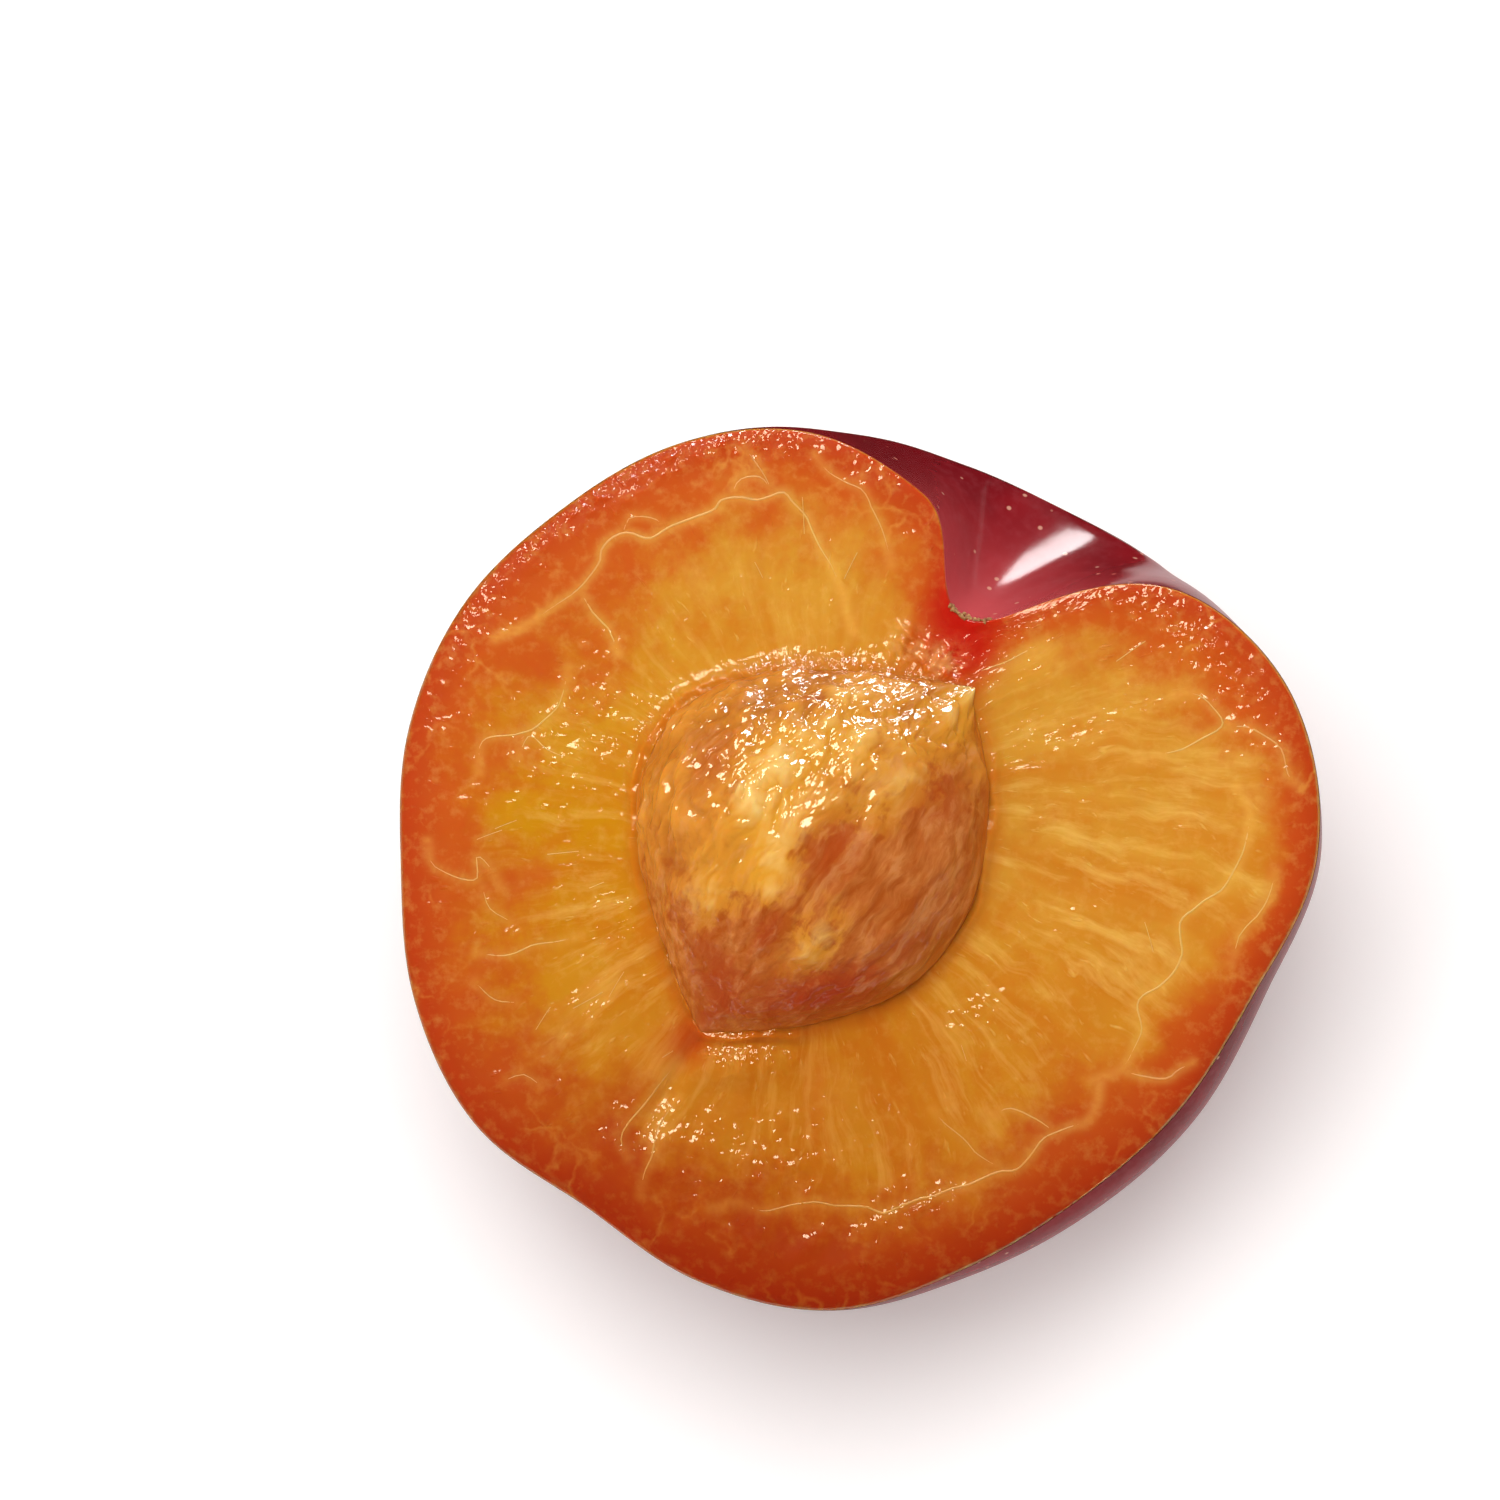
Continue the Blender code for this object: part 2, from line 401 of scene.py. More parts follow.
class CutFace:
    """The cut face: where it lies, how it rises and falls, how ripe it is and where shade is painted."""

    samples = 1440
    hub = (-1.3 * MM, 0.7 * MM)  # where angles on the face are measured from
    # How far in from the rim the amber flesh turns orange, in mm, every 20 degrees from 55 degrees
    # clockwise of the stem.
    band_mm = (2.2, 5.5, 6.0, 5.0, 5.0, 6.5, 7.0, 8.0, 7.0, 6.0, 6.0, 6.5, 5.5, 6.5, 5.0, 5.0, 5.5, 3.0)
    band_start = -55
    # Painted shade, darker on the lower part of the face, and yellowness, every 30 degrees from the stem.
    painted_shade = (0.1, 0.0, 0.0, 0.05, 0.1, 0.3, 0.8, 1.0, 0.75, 0.3, 0.0, 0.0)
    golden = (0.2, 0.1, 0.2, 0.6, 1.0, 0.9, 0.5, 0.5, 0.5, 0.3, 0.0, 0.0)
    stringy = (0.3, 0.35, 0.4, 0.5, 0.6, 0.9, 0.9, 0.9, 0.8, 0.9, 1.0, 0.7)
    # Where wet pimples crowd: angle and half-width in degrees, share and its spread, strength.
    sparkles = ((50, 45, 0.02, 0.05, 0.8), (64, 24, 0.95, 0.07, 0.9), (330, 12, 0.86, 0.10, 0.65),
                (100, 30, 0.40, 0.30, 0.16), (232, 6, 0.75, 0.05, 0.5), (259, 7, 0.25, 0.06, 0.45),
                (200, 14, 0.12, 0.08, 0.6), (208, 26, 0.5, 0.22, 0.24))
    # Where the pulp is lumpy, and where it is paler, in the same terms.
    lumpy = ((206, 34, 0.6, 0.28, 1.0), (20, 25, 0.85, 0.12, 0.4))
    glows = ((165, 15, 0.28, 0.16, 0.8), (345, 13, 0.42, 0.15, 0.45), (30, 12, 0.2, 0.15, 0.3),
             (206, 16, 0.22, 0.14, 0.4))
    # The red valley's course, from the stone's upper tip to the stem scar, and half its width.
    valley = ((-0.2 * MM, 15.6 * MM), (-2.0 * MM, 17.4 * MM))
    valley_width = 2.3 * MM
    # A red tail of pulp below its lower tip: place, half-width and depth of colour.
    tail = (-0.5 * MM, -13.9 * MM)
    tail_width = 1.5 * MM
    tail_depth = 0.65
    # Torn wet pulp: place, half-width and height of its lumps.
    torn = (((-3.4 * MM, 13.7 * MM), 1.1 * MM, 0.7 * MM), ((-1.0 * MM, 14.1 * MM), 1.1 * MM, 0.8 * MM))
    # Lips and pads: angle and half-width in degrees, distance from the stone and half-width in mm,
    # height in mm.
    swells = ((100, 50, 0.6, 0.28, 0.3), (300, 42, 0.5, 0.25, 0.2), (199, 13, 0.5, 0.36, 0.45),
              (197, 10, 2.3, 1.3, 0.6), (184.5, 2.2, 3.2, 2.8, -0.5))
    # Height of the lip that grips the stone, in mm, every 30 degrees from the stem.
    lip_mm = (0.25, 0.45, 0.6, 0.6, 0.5, 0.4, 0.5, 0.45, 0.3, 0.25, 0.25, 0.25)
    # How far the cut edge curls down by the skin, less so beside the stem hollow.
    curl = 0.45 * MM
    hollow_curl = 0.02 * MM
    hollow_width = math.radians(42)
    # Fibres lean this far round the stone, and where.
    lean = math.radians(14)
    lean_centre = math.radians(318)
    lean_width = math.radians(45)

    def __init__(self, form: FruitForm, stone: StoneForm) -> None:
        """Measures the rim and the stone's edge as seen from the stone.

        Args:
            form: The fruit's shape.
            stone: The stone's shape.
        """
        self.form, self.stone = form, stone
        self.centre = np.array(self.hub)
        ring = np.arange(self.samples) * math.tau / self.samples
        rim = form.outside(ring, np.ones_like(ring))[:, :2] - self.centre
        unit = np.stack((-np.sin(ring), np.cos(ring), np.zeros_like(ring)), axis=1)
        edge = stone.placed(unit, stone.film)[:, :2] - self.centre
        self.rim_table = self.polar_table(rim)
        self.edge_table = self.polar_table(edge)

    @staticmethod
    def polar_table(points: np.ndarray) -> tuple[np.ndarray, np.ndarray]:
        """Sorts a closed outline into angles and radii."""
        angle = np.arctan2(-points[:, 0], points[:, 1]) % math.tau
        order = np.argsort(angle)
        return angle[order], np.hypot(points[:, 0], points[:, 1])[order]

    def rim(self, angle: np.ndarray) -> np.ndarray:
        """Distance from the stone's centre to the rim."""
        return np.interp(angle, *self.rim_table, period=math.tau)

    def edge(self, angle: np.ndarray) -> np.ndarray:
        """Distance from the stone's centre to the socket's edge."""
        return np.interp(angle, *self.edge_table, period=math.tau)

    def place(self, angle: np.ndarray, share: np.ndarray) -> np.ndarray:
        """Points of the flat face at angles and shares, as rows of x and y."""
        reach = self.edge(angle) + (self.rim(angle) - self.edge(angle)) * share
        return self.centre + np.stack((-np.sin(angle), np.cos(angle)), axis=1) * reach[:, None]

    def polar(self, flat: np.ndarray) -> tuple[np.ndarray, np.ndarray, np.ndarray]:
        """Each point's angle, distance from the stone's edge and distance to the rim, in mm."""
        off = flat - self.centre
        angle = np.arctan2(-off[:, 0], off[:, 1])
        reach = np.hypot(off[:, 0], off[:, 1])
        return angle, (reach - self.edge(angle)) / MM, (self.rim(angle) - reach) / MM

    def fibre(self, flat: np.ndarray) -> np.ndarray:
        """Each point's place in a space where fibres run along the third axis."""
        angle, core, rim = self.polar(flat)
        share = np.clip(core / (core + rim), 0, 1)
        bend = self.lean * bell(turn_between(angle, self.lean_centre), self.lean_width)
        course = angle - bend * (1 - share)
        radius = 18 * MM
        return np.stack((-np.sin(course) * radius, np.cos(course) * radius, core * MM), axis=1)

    def swell(self, angle: np.ndarray, core: np.ndarray) -> np.ndarray:
        """Height of the lips round the stone and of the wet pad below it."""
        total = np.zeros(len(angle))
        for centre, spread, place, width, height in self.swells:
            across = bell(turn_between(angle, math.radians(centre)), math.radians(spread))
            total += height * MM * across * bell(core - place, width)
        return total

    def height(self, flat: np.ndarray) -> np.ndarray:
        """How far the flesh stands above the flat cut at each point."""
        angle, core, rim = self.polar(flat)
        share = np.clip(core / (core + rim), 0, 1)
        solid = np.column_stack((flat, np.zeros(len(flat))))
        inner = smooth(core, 0.2, 3) * smooth(rim, 0.2, 3)
        band = smooth(self.band(angle, rim), 1.2, 0.7)
        total = 0.20 * MM * rough(solid, 7 * MM, 2, 3.1) * inner
        total += 0.05 * MM * rough(solid, 1.7 * MM, 2, 8.4) * band * smooth(rim, 0, 1)
        fibre = self.fibre(flat) * np.array((1, 1, 0.22))
        total += 0.05 * MM * rough(fibre, 1.5 * MM, 2, 5.5) * (1 - band) * smooth(core, 0, 1.5)
        pimples = np.maximum(0, rough(solid, 0.75 * MM, 2, 1.7) - 0.12)
        total += 0.3 * MM * pimples * self.sparkle(angle, share)
        lumps = rough(solid * np.array((1, 0.6, 1)), 1.9 * MM, 2, 12.5)
        total += 0.17 * MM * lumps * self.spots(angle, share, self.lumpy)
        beside = bell(turn_between(angle, self.form.hollow_angle), self.hollow_width)
        total += 0.18 * MM * bell(rim - 3.2, 2.4) * (1 - beside)
        curl = self.curl + (self.hollow_curl - self.curl) * beside
        total -= curl * np.exp(-np.maximum(rim, 0) / 0.55)
        uneven = 1 + 0.8 * rough(solid, 1.3 * MM, 2, 2.6)
        lip = around(angle, self.lip_mm, 0) * MM * np.exp(-np.maximum(core, 0) / 0.5)
        wobble = 0.45 * rough(solid, 2.4 * MM, 1, 7.7)
        total += self.swell(angle, core + wobble) + lip * uneven
        total -= 0.15 * MM * self.blush(flat) * smooth(rim, 0, 1)
        total += self.torn_pulp(flat) * np.maximum(0, 0.3 + rough(solid, 0.8 * MM, 2, 6.6))
        return total

    def torn_pulp(self, flat: np.ndarray) -> np.ndarray:
        """Height of the torn pulp's lumps at each point."""
        return sum(height * bell(np.hypot(flat[:, 0] - x, flat[:, 1] - y), width)
                   for (x, y), width, height in self.torn)

    def sparkle(self, angle: np.ndarray, share: np.ndarray) -> np.ndarray:
        """Where the flesh is rough enough to glint: by the rim, and a little elsewhere."""
        return np.minimum(0.12 + self.spots(angle, share, self.sparkles), 1.2)

    @staticmethod
    def spots(angle: np.ndarray, share: np.ndarray, table: tuple) -> np.ndarray:
        """Total strength of a table's soft spots at each angle and share."""
        total = np.zeros(len(angle))
        for centre, width, place, spread, strength in table:
            across = bell(turn_between(angle, math.radians(centre)), math.radians(width))
            total += strength * across * bell(share - place, spread)
        return total

    def band(self, angle: np.ndarray, rim: np.ndarray) -> np.ndarray:
        """Distance from the rim as a share of the orange band's width there."""
        return rim / around(angle, self.band_mm, self.band_start)

    def blush(self, flat: np.ndarray) -> np.ndarray:
        """The red pulp between the stem hollow and the stone and below it, from 0 to 1."""
        start, end = (np.array(point) for point in self.valley)
        along = end - start
        share = np.clip((flat - start) @ along / (along @ along), 0, 1)
        gap = flat - start - share[:, None] * along
        tail = np.hypot(flat[:, 0] - self.tail[0], flat[:, 1] - self.tail[1])
        valley = np.exp(-(np.hypot(gap[:, 0], gap[:, 1]) / self.valley_width) ** 3)
        return np.maximum(valley, self.tail_depth * bell(tail, self.tail_width))

    def dress(self, mesh: bpy.types.Mesh, flat: np.ndarray, halo: np.ndarray) -> None:
        """Stores what the flesh finish reads: fibres, ripeness, blush and the veins' halo.

        Args:
            mesh: The mesh to store it on.
            flat: Each vertex's place on the face.
            halo: How near each vertex is to a vein, from 0 to 1.
        """
        angle, core, rim = self.polar(flat)
        write_value(mesh, "fibre", self.fibre(flat))
        write_value(mesh, "band", self.band(angle, rim))
        write_value(mesh, "core_mm", core)
        write_value(mesh, "rim_mm", rim)
        write_value(mesh, "blush", self.blush(flat))
        # Painted shade: how much darker the lower part of the face is drawn.
        write_value(mesh, "painted_shade", around(angle, self.painted_shade, 0))
        write_value(mesh, "golden", around(angle, self.golden, 0))
        share = np.clip(core / (core + rim), 0, 1)
        write_value(mesh, "sparkle", self.sparkle(angle, share))
        write_value(mesh, "stringy", around(angle, self.stringy, 0))
        patchy = smooth(rough(self.fibre(flat) * np.array((1, 1, 0.25)), 2 * MM, 2, 3.9), -0.4, 0.5)
        write_value(mesh, "halo", np.minimum(1, halo + patchy * self.spots(angle, share, self.glows)))
        write_value(mesh, "torn", np.minimum(1, self.torn_pulp(flat) / MM))


@dataclass(frozen=True)
class FleshFinish:
    """Ripe plum flesh, cut with a knife: wet, translucent and stringy, under a film of juice.

    Light goes in and comes out amber, so it glows, and the juice over it throws small hard glints.
    """

    pale: str = "d69830"
    golden: str = "cf900c"
    streak: str = "ecbc5c"
    gap: str = "cc7612"
    orange: str = "cc5c18"
    rim: str = "c04414"
    red: str = "c4140a"
    socket: str = "c86c18"
    vein: str = "eeb450"
    # Painted shade on the lower part of the face, inside and outside the orange band.
    painted_shade_inner: str = "e8ccb0"
    painted_shade_outer: str = "cc9c7c"
    torn: str = "e8a25c"
    ior: float = 1.38  # sugary water
    roughness: float = 0.45
    film_roughness: float = 0.05
    fibre_mm: float = 1.1  # width of a bundle of fibres
    cell_mm: float = 4.2  # spacing of the fine net of veins

    def build(self) -> bpy.types.Material:
        """Makes the material."""
        made = bpy.data.materials.new("cut_plum_flesh")
        made.use_nodes = True
        tree = made.node_tree
        tree.nodes.clear()
        place = node(tree, "ShaderNodeTexCoord", out="Object")
        fibre = node(tree, "ShaderNodeAttribute", out="Vector", attribute_name="fibre")
        band = node(tree, "ShaderNodeAttribute", out="Fac", attribute_name="band")
        core = node(tree, "ShaderNodeAttribute", out="Fac", attribute_name="core_mm")
        rim = node(tree, "ShaderNodeAttribute", out="Fac", attribute_name="rim_mm")
        blush = node(tree, "ShaderNodeAttribute", out="Fac", attribute_name="blush")
        painted_shade = node(tree, "ShaderNodeAttribute", out="Fac", attribute_name="painted_shade")
        golden = node(tree, "ShaderNodeAttribute", out="Fac", attribute_name="golden")
        halo = node(tree, "ShaderNodeAttribute", out="Fac", attribute_name="halo")
        sparkle = node(tree, "ShaderNodeAttribute", out="Fac", attribute_name="sparkle")
        stringy = node(tree, "ShaderNodeAttribute", out="Fac", attribute_name="stringy")

        # Fibres: long thin noise in the space of the fibres, which wander a little.
        sway = node(tree, "ShaderNodeTexNoise", {
            "Vector": place, "Scale": 1 / (5 * MM), "Detail": 2,
        }, out="Color")
        swayed = node(tree, "ShaderNodeVectorMath", {
            0: sway, 1: (0.0022, 0.0022, 0.004), 2: fibre,
        }, operation="MULTIPLY_ADD")
        strung = node(tree, "ShaderNodeMapping", {"Vector": swayed, "Scale": (1, 1, 0.13)})
        thread = node(tree, "ShaderNodeTexNoise", {
            "Vector": strung, "Scale": 1 / (self.fibre_mm * MM), "Detail": 5, "Roughness": 0.62,
        })
        dash_space = node(tree, "ShaderNodeMapping", {"Vector": swayed, "Scale": (1, 1, 0.3)})
        dash = node(tree, "ShaderNodeTexNoise", {
            "Vector": dash_space, "Scale": 1 / (0.42 * MM), "Detail": 2, "Roughness": 0.5,
        })
        broad = node(tree, "ShaderNodeTexNoise", {
            "Vector": strung, "Scale": 1 / (3.2 * self.fibre_mm * MM), "Detail": 3, "Roughness": 0.6,
        })
        patch = node(tree, "ShaderNodeTexNoise", {
            "Vector": place, "Scale": 1 / (4.2 * MM), "Detail": 5, "Roughness": 0.62,
        })
        fine = node(tree, "ShaderNodeTexNoise", {
            "Vector": place, "Scale": 1 / (0.8 * MM), "Detail": 4, "Roughness": 0.6,
        })

        # Where the orange band starts, its line broken up by the patches and the fibres.
        ragged = node(tree, "ShaderNodeMath", {0: patch, 1: 1.9, 2: -0.95}, operation="MULTIPLY_ADD")
        fringe = node(tree, "ShaderNodeMath", {0: broad, 1: 0.9, 2: -0.45}, operation="MULTIPLY_ADD")
        reach = node(tree, "ShaderNodeMath", {0: band, 1: ragged}, operation="ADD")
        reach = node(tree, "ShaderNodeMath", {0: reach, 1: fringe}, operation="ADD")
        outer = node(tree, "ShaderNodeMapRange", {
            "Value": reach, "From Min": 1.6, "From Max": 0.4,
        }, interpolation_type="SMOOTHSTEP")
        inner = node(tree, "ShaderNodeMath", {0: 1.0, 1: outer}, operation="SUBTRACT")

        amber = node(tree, "ShaderNodeMix", {
            "Factor": golden, "A": linear(self.pale), "B": linear(self.golden),
        }, data_type="RGBA")
        clear = node(tree, "ShaderNodeMapRange", {
            "Value": broad, "From Min": 0.54, "From Max": 0.34, "To Max": 0.7,
        })
        cloudy = node(tree, "ShaderNodeMapRange", {
            "Value": patch, "From Min": 0.52, "From Max": 0.34, "To Max": 0.6,
        })
        clear = node(tree, "ShaderNodeMath", {0: clear, 1: cloudy}, operation="MAXIMUM")
        amber = node(tree, "ShaderNodeMix", {
            "Factor": clear, "A": amber, "B": linear(self.gap),
        }, data_type="RGBA")
        strands = node(tree, "ShaderNodeMapRange", {"Value": thread, "From Min": 0.5, "From Max": 0.78})
        lit = node(tree, "ShaderNodeMath", {0: strands, 1: inner}, operation="MULTIPLY")
        lit = node(tree, "ShaderNodeMath", {0: lit, 1: stringy}, operation="MULTIPLY")
        amber = node(tree, "ShaderNodeMix", {
            "Factor": lit, "A": amber, "B": linear(self.streak),
        }, data_type="RGBA")
        dashes = node(tree, "ShaderNodeMapRange", {"Value": dash, "From Min": 0.66, "From Max": 0.76})
        dashed = node(tree, "ShaderNodeMath", {0: dashes, 1: inner}, operation="MULTIPLY")
        dashed = node(tree, "ShaderNodeMath", {0: dashed, 1: 0.6}, operation="MULTIPLY")
        amber = node(tree, "ShaderNodeMix", {
            "Factor": dashed, "A": amber, "B": linear(self.streak),
        }, data_type="RGBA")
        # Orange band deepening to red at the rim: the flesh's own redder colour by the skin, with painted
        # glow of light coming through the skin there.
        rim_red_and_glow = node(tree, "ShaderNodeMapRange", {
            "Value": rim, "From Min": 3.4, "From Max": 0.2,
        }, interpolation_type="SMOOTHSTEP")
        ripe = node(tree, "ShaderNodeMix", {
            "Factor": rim_red_and_glow, "A": linear(self.orange), "B": linear(self.rim),
        }, data_type="RGBA")
        body = node(tree, "ShaderNodeMix", {"Factor": outer, "A": amber, "B": ripe}, data_type="RGBA")

        # Mottle: paler pulp in small lumps.
        mottle = node(tree, "ShaderNodeMapRange", {
            "Value": fine, "From Min": 0.5, "From Max": 0.8, "To Max": 0.3,
        })
        body = node(tree, "ShaderNodeMix", {
            "Factor": mottle, "A": body, "B": linear(self.streak),
        }, data_type="RGBA")

        # The fine net of veins, warped so that no line is straight.
        warp = node(tree, "ShaderNodeTexNoise", {
            "Vector": place, "Scale": 1 / (1.8 * MM), "Detail": 3,
        }, out="Color")
        wandering = node(tree, "ShaderNodeVectorMath", {
            0: warp, 1: (0.0024, 0.0024, 0.0024), 2: place,
        }, operation="MULTIPLY_ADD")
        net = node(tree, "ShaderNodeTexVoronoi", {
            "Vector": wandering, "Scale": 1 / (self.cell_mm * MM),
        }, feature="DISTANCE_TO_EDGE")
        line = node(tree, "ShaderNodeMapRange", {
            "Value": net, "From Min": 0.05, "From Max": 0.0, "To Max": 0.32,
        })
        broken = node(tree, "ShaderNodeMapRange", {"Value": patch, "From Min": 0.5, "From Max": 0.62})
        line = node(tree, "ShaderNodeMath", {0: line, 1: broken}, operation="MULTIPLY")
        line = node(tree, "ShaderNodeMath", {0: line, 1: outer}, operation="MULTIPLY")
        body = node(tree, "ShaderNodeMix", {
            "Factor": line, "A": body, "B": linear(self.vein),
        }, data_type="RGBA")
        glow = node(tree, "ShaderNodeMath", {0: halo, 1: 0.5}, operation="MULTIPLY")
        body = node(tree, "ShaderNodeMix", {
            "Factor": glow, "A": body, "B": linear(self.vein),
        }, data_type="RGBA")

        # Deeper colour near the stone and in the red valley, then painted shade on the lower part of the
        # face.
        near_core = node(tree, "ShaderNodeMapRange", {
            "Value": core, "From Min": 1.7, "From Max": 0.0, "To Max": 0.75,
        }, interpolation_type="SMOOTHSTEP")
        body = node(tree, "ShaderNodeMix", {
            "Factor": near_core, "A": body, "B": linear(self.socket),
        }, data_type="RGBA")
        flushed = node(tree, "ShaderNodeMath", {0: blush, 1: 0.95}, operation="MULTIPLY")
        body = node(tree, "ShaderNodeMix", {
            "Factor": flushed, "A": body, "B": linear(self.red),
        }, data_type="RGBA")
        shade = node(tree, "ShaderNodeMix", {
            "Factor": outer, "A": linear(self.painted_shade_inner), "B": linear(self.painted_shade_outer),
        }, data_type="RGBA")
        body = node(tree, "ShaderNodeMix", {
            "Factor": painted_shade, "A": body, "B": shade,
        }, data_type="RGBA", blend_type="MULTIPLY")
        torn = node(tree, "ShaderNodeAttribute", out="Fac", attribute_name="torn")
        shreds = node(tree, "ShaderNodeMapRange", {"Value": fine, "From Min": 0.4, "From Max": 0.6})
        torn = node(tree, "ShaderNodeMath", {0: torn, 1: shreds}, operation="MULTIPLY")
        body = node(tree, "ShaderNodeMix", {
            "Factor": torn, "A": body, "B": linear(self.torn),
        }, data_type="RGBA")

        # Relief too fine for the mesh: fibres and dashes, then pimples where it is rough.
        bump = node(tree, "ShaderNodeBump", {"Height": thread, "Distance": 0.03 * MM})
        bump = node(tree, "ShaderNodeBump", {"Height": dashes, "Distance": 0.03 * MM, "Normal": bump})
        beads = node(tree, "ShaderNodeTexNoise", {
            "Vector": place, "Scale": 1 / (0.62 * MM), "Detail": 1.3, "Roughness": 0.5,
        })
        calm = node(tree, "ShaderNodeMath", {0: blush, 1: -0.5, 2: 1.0}, operation="MULTIPLY_ADD")
        rise = node(tree, "ShaderNodeMath", {0: beads, 1: sparkle}, operation="MULTIPLY")
        rise = node(tree, "ShaderNodeMath", {0: rise, 1: calm}, operation="MULTIPLY")
        film = node(tree, "ShaderNodeBump", {"Height": dash, "Distance": 0.07 * MM})
        film = node(tree, "ShaderNodeBump", {"Height": rise, "Distance": 0.75 * MM, "Normal": film})
        shader = node(tree, "ShaderNodeBsdfPrincipled", {
            "Base Color": body, "Roughness": self.roughness, "IOR": self.ior, "Normal": bump,
            "Specular IOR Level": 0.1, "Subsurface Weight": 0.5,
            "Subsurface Radius": (1.0, 0.4, 0.1), "Subsurface Scale": 1.2 * MM,
            "Coat Weight": 1.0, "Coat Roughness": self.film_roughness, "Coat IOR": 1.4,
            "Coat Normal": film,
        })
        node(tree, "ShaderNodeOutputMaterial", {"Surface": shader})
        return made


@dataclass(frozen=True)
class VeinFinish:
    """A vein of the flesh, laid bare by the knife: a pale cord that stays firm as the pulp softens."""

    amber: str = "ecb65c"
    ripe: str = "ea9c54"
    # Painted shade on the lower part of the face.
    painted_shade: str = "e6c4a8"
    ior: float = 1.4

    def build(self) -> bpy.types.Material:
        """Makes the material."""
        made = bpy.data.materials.new("plum_flesh_vein")
        made.use_nodes = True
        tree = made.node_tree
        tree.nodes.clear()
        band = node(tree, "ShaderNodeAttribute", out="Fac", attribute_name="band")
        painted_shade = node(tree, "ShaderNodeAttribute", out="Fac", attribute_name="painted_shade")
        place = node(tree, "ShaderNodeTexCoord", out="Object")
        outer = node(tree, "ShaderNodeMapRange", {"Value": band, "From Min": 1.1, "From Max": 0.3})
        colour = node(tree, "ShaderNodeMix", {
            "Factor": outer, "A": linear(self.amber), "B": linear(self.ripe),
        }, data_type="RGBA")
        # Painted shade on the lower part of the face, as on the flesh.
        colour = node(tree, "ShaderNodeMix", {
            "Factor": painted_shade, "A": colour, "B": linear(self.painted_shade),
        }, data_type="RGBA", blend_type="MULTIPLY")
        bead = node(tree, "ShaderNodeTexNoise", {"Vector": place, "Scale": 1 / (0.5 * MM)})
        bump = node(tree, "ShaderNodeBump", {"Height": bead, "Distance": 0.05 * MM})
        shader = node(tree, "ShaderNodeBsdfPrincipled", {
            "Base Color": colour, "Roughness": 0.35, "IOR": self.ior, "Normal": bump,
            "Subsurface Weight": 0.3, "Subsurface Radius": (1.0, 0.5, 0.15),
            "Subsurface Scale": 0.6 * MM,
        })
        node(tree, "ShaderNodeOutputMaterial", {"Surface": shader})
        return made


@dataclass(frozen=True)
class SkinFinish:
    """Ripe plum skin: a waxed, dark crimson film with pale pores.

    The wax is smooth, so it mirrors the room, and a thin bloom greys it where nothing has rubbed it.
    """

    dark: str = "6e0410"
    red: str = "8e0c18"
    pore: str = "d8a088"
    bloom: str = "b06068"
    # Painted reflection: a lighter pink laid on towards the stem scar, for the pink sheen in the hollow.
    stem: str = "d85c60"
    ior: float = 1.4  # plant wax
    pore_mm: float = 1.5  # pores' spacing in the solid; only those near the surface show

    def build(self) -> bpy.types.Material:
        """Makes the material."""
        made = bpy.data.materials.new("waxed_plum_skin")
        made.use_nodes = True
        tree = made.node_tree
        tree.nodes.clear()
        place = node(tree, "ShaderNodeTexCoord", out="Object")
        cloud = node(tree, "ShaderNodeTexNoise", {
            "Vector": place, "Scale": 1 / (9 * MM), "Detail": 4, "Roughness": 0.55,
        })
        fine = node(tree, "ShaderNodeTexNoise", {
            "Vector": place, "Scale": 1 / (0.7 * MM), "Detail": 4,
        })
        tint = node(tree, "ShaderNodeMapRange", {"Value": cloud, "From Min": 0.38, "From Max": 0.64})
        colour = node(tree, "ShaderNodeMix", {
            "Factor": tint, "A": linear(self.dark), "B": linear(self.red),
        }, data_type="RGBA")
        dust = node(tree, "ShaderNodeMapRange", {
            "Value": fine, "From Min": 0.45, "From Max": 0.8, "To Max": 0.12,
        })
        colour = node(tree, "ShaderNodeMix", {
            "Factor": dust, "A": colour, "B": linear(self.bloom),
        }, data_type="RGBA")
        # Painted reflection: lighter pink towards the stem scar, for the sheen in the hollow.
        painted_hollow_sheen = node(tree, "ShaderNodeAttribute", out="Fac", attribute_name="painted_hollow_sheen")
        colour = node(tree, "ShaderNodeMix", {
            "Factor": painted_hollow_sheen, "A": colour, "B": linear(self.stem),
        }, data_type="RGBA")
        pores = node(tree, "ShaderNodeTexVoronoi", {
            "Vector": place, "Scale": 1 / (self.pore_mm * MM), "Randomness": 1,
        })
        pore = node(tree, "ShaderNodeMapRange", {
            "Value": pores, "From Min": 0.12, "From Max": 0.07, "To Max": 0.8,
        })
        colour = node(tree, "ShaderNodeMix", {
            "Factor": pore, "A": colour, "B": linear(self.pore),
        }, data_type="RGBA")
        wax = node(tree, "ShaderNodeMapRange", {
            "Value": cloud, "From Min": 0.35, "From Max": 0.7, "To Min": 0.12, "To Max": 0.2,
        })
        bump = node(tree, "ShaderNodeBump", {"Height": fine, "Distance": 0.012 * MM, "Strength": 0.5})
        shader = node(tree, "ShaderNodeBsdfPrincipled", {
            "Base Color": colour, "Roughness": wax, "IOR": self.ior, "Normal": bump,
            "Specular IOR Level": 0.35,
        })
        node(tree, "ShaderNodeOutputMaterial", {"Surface": shader})
        return made


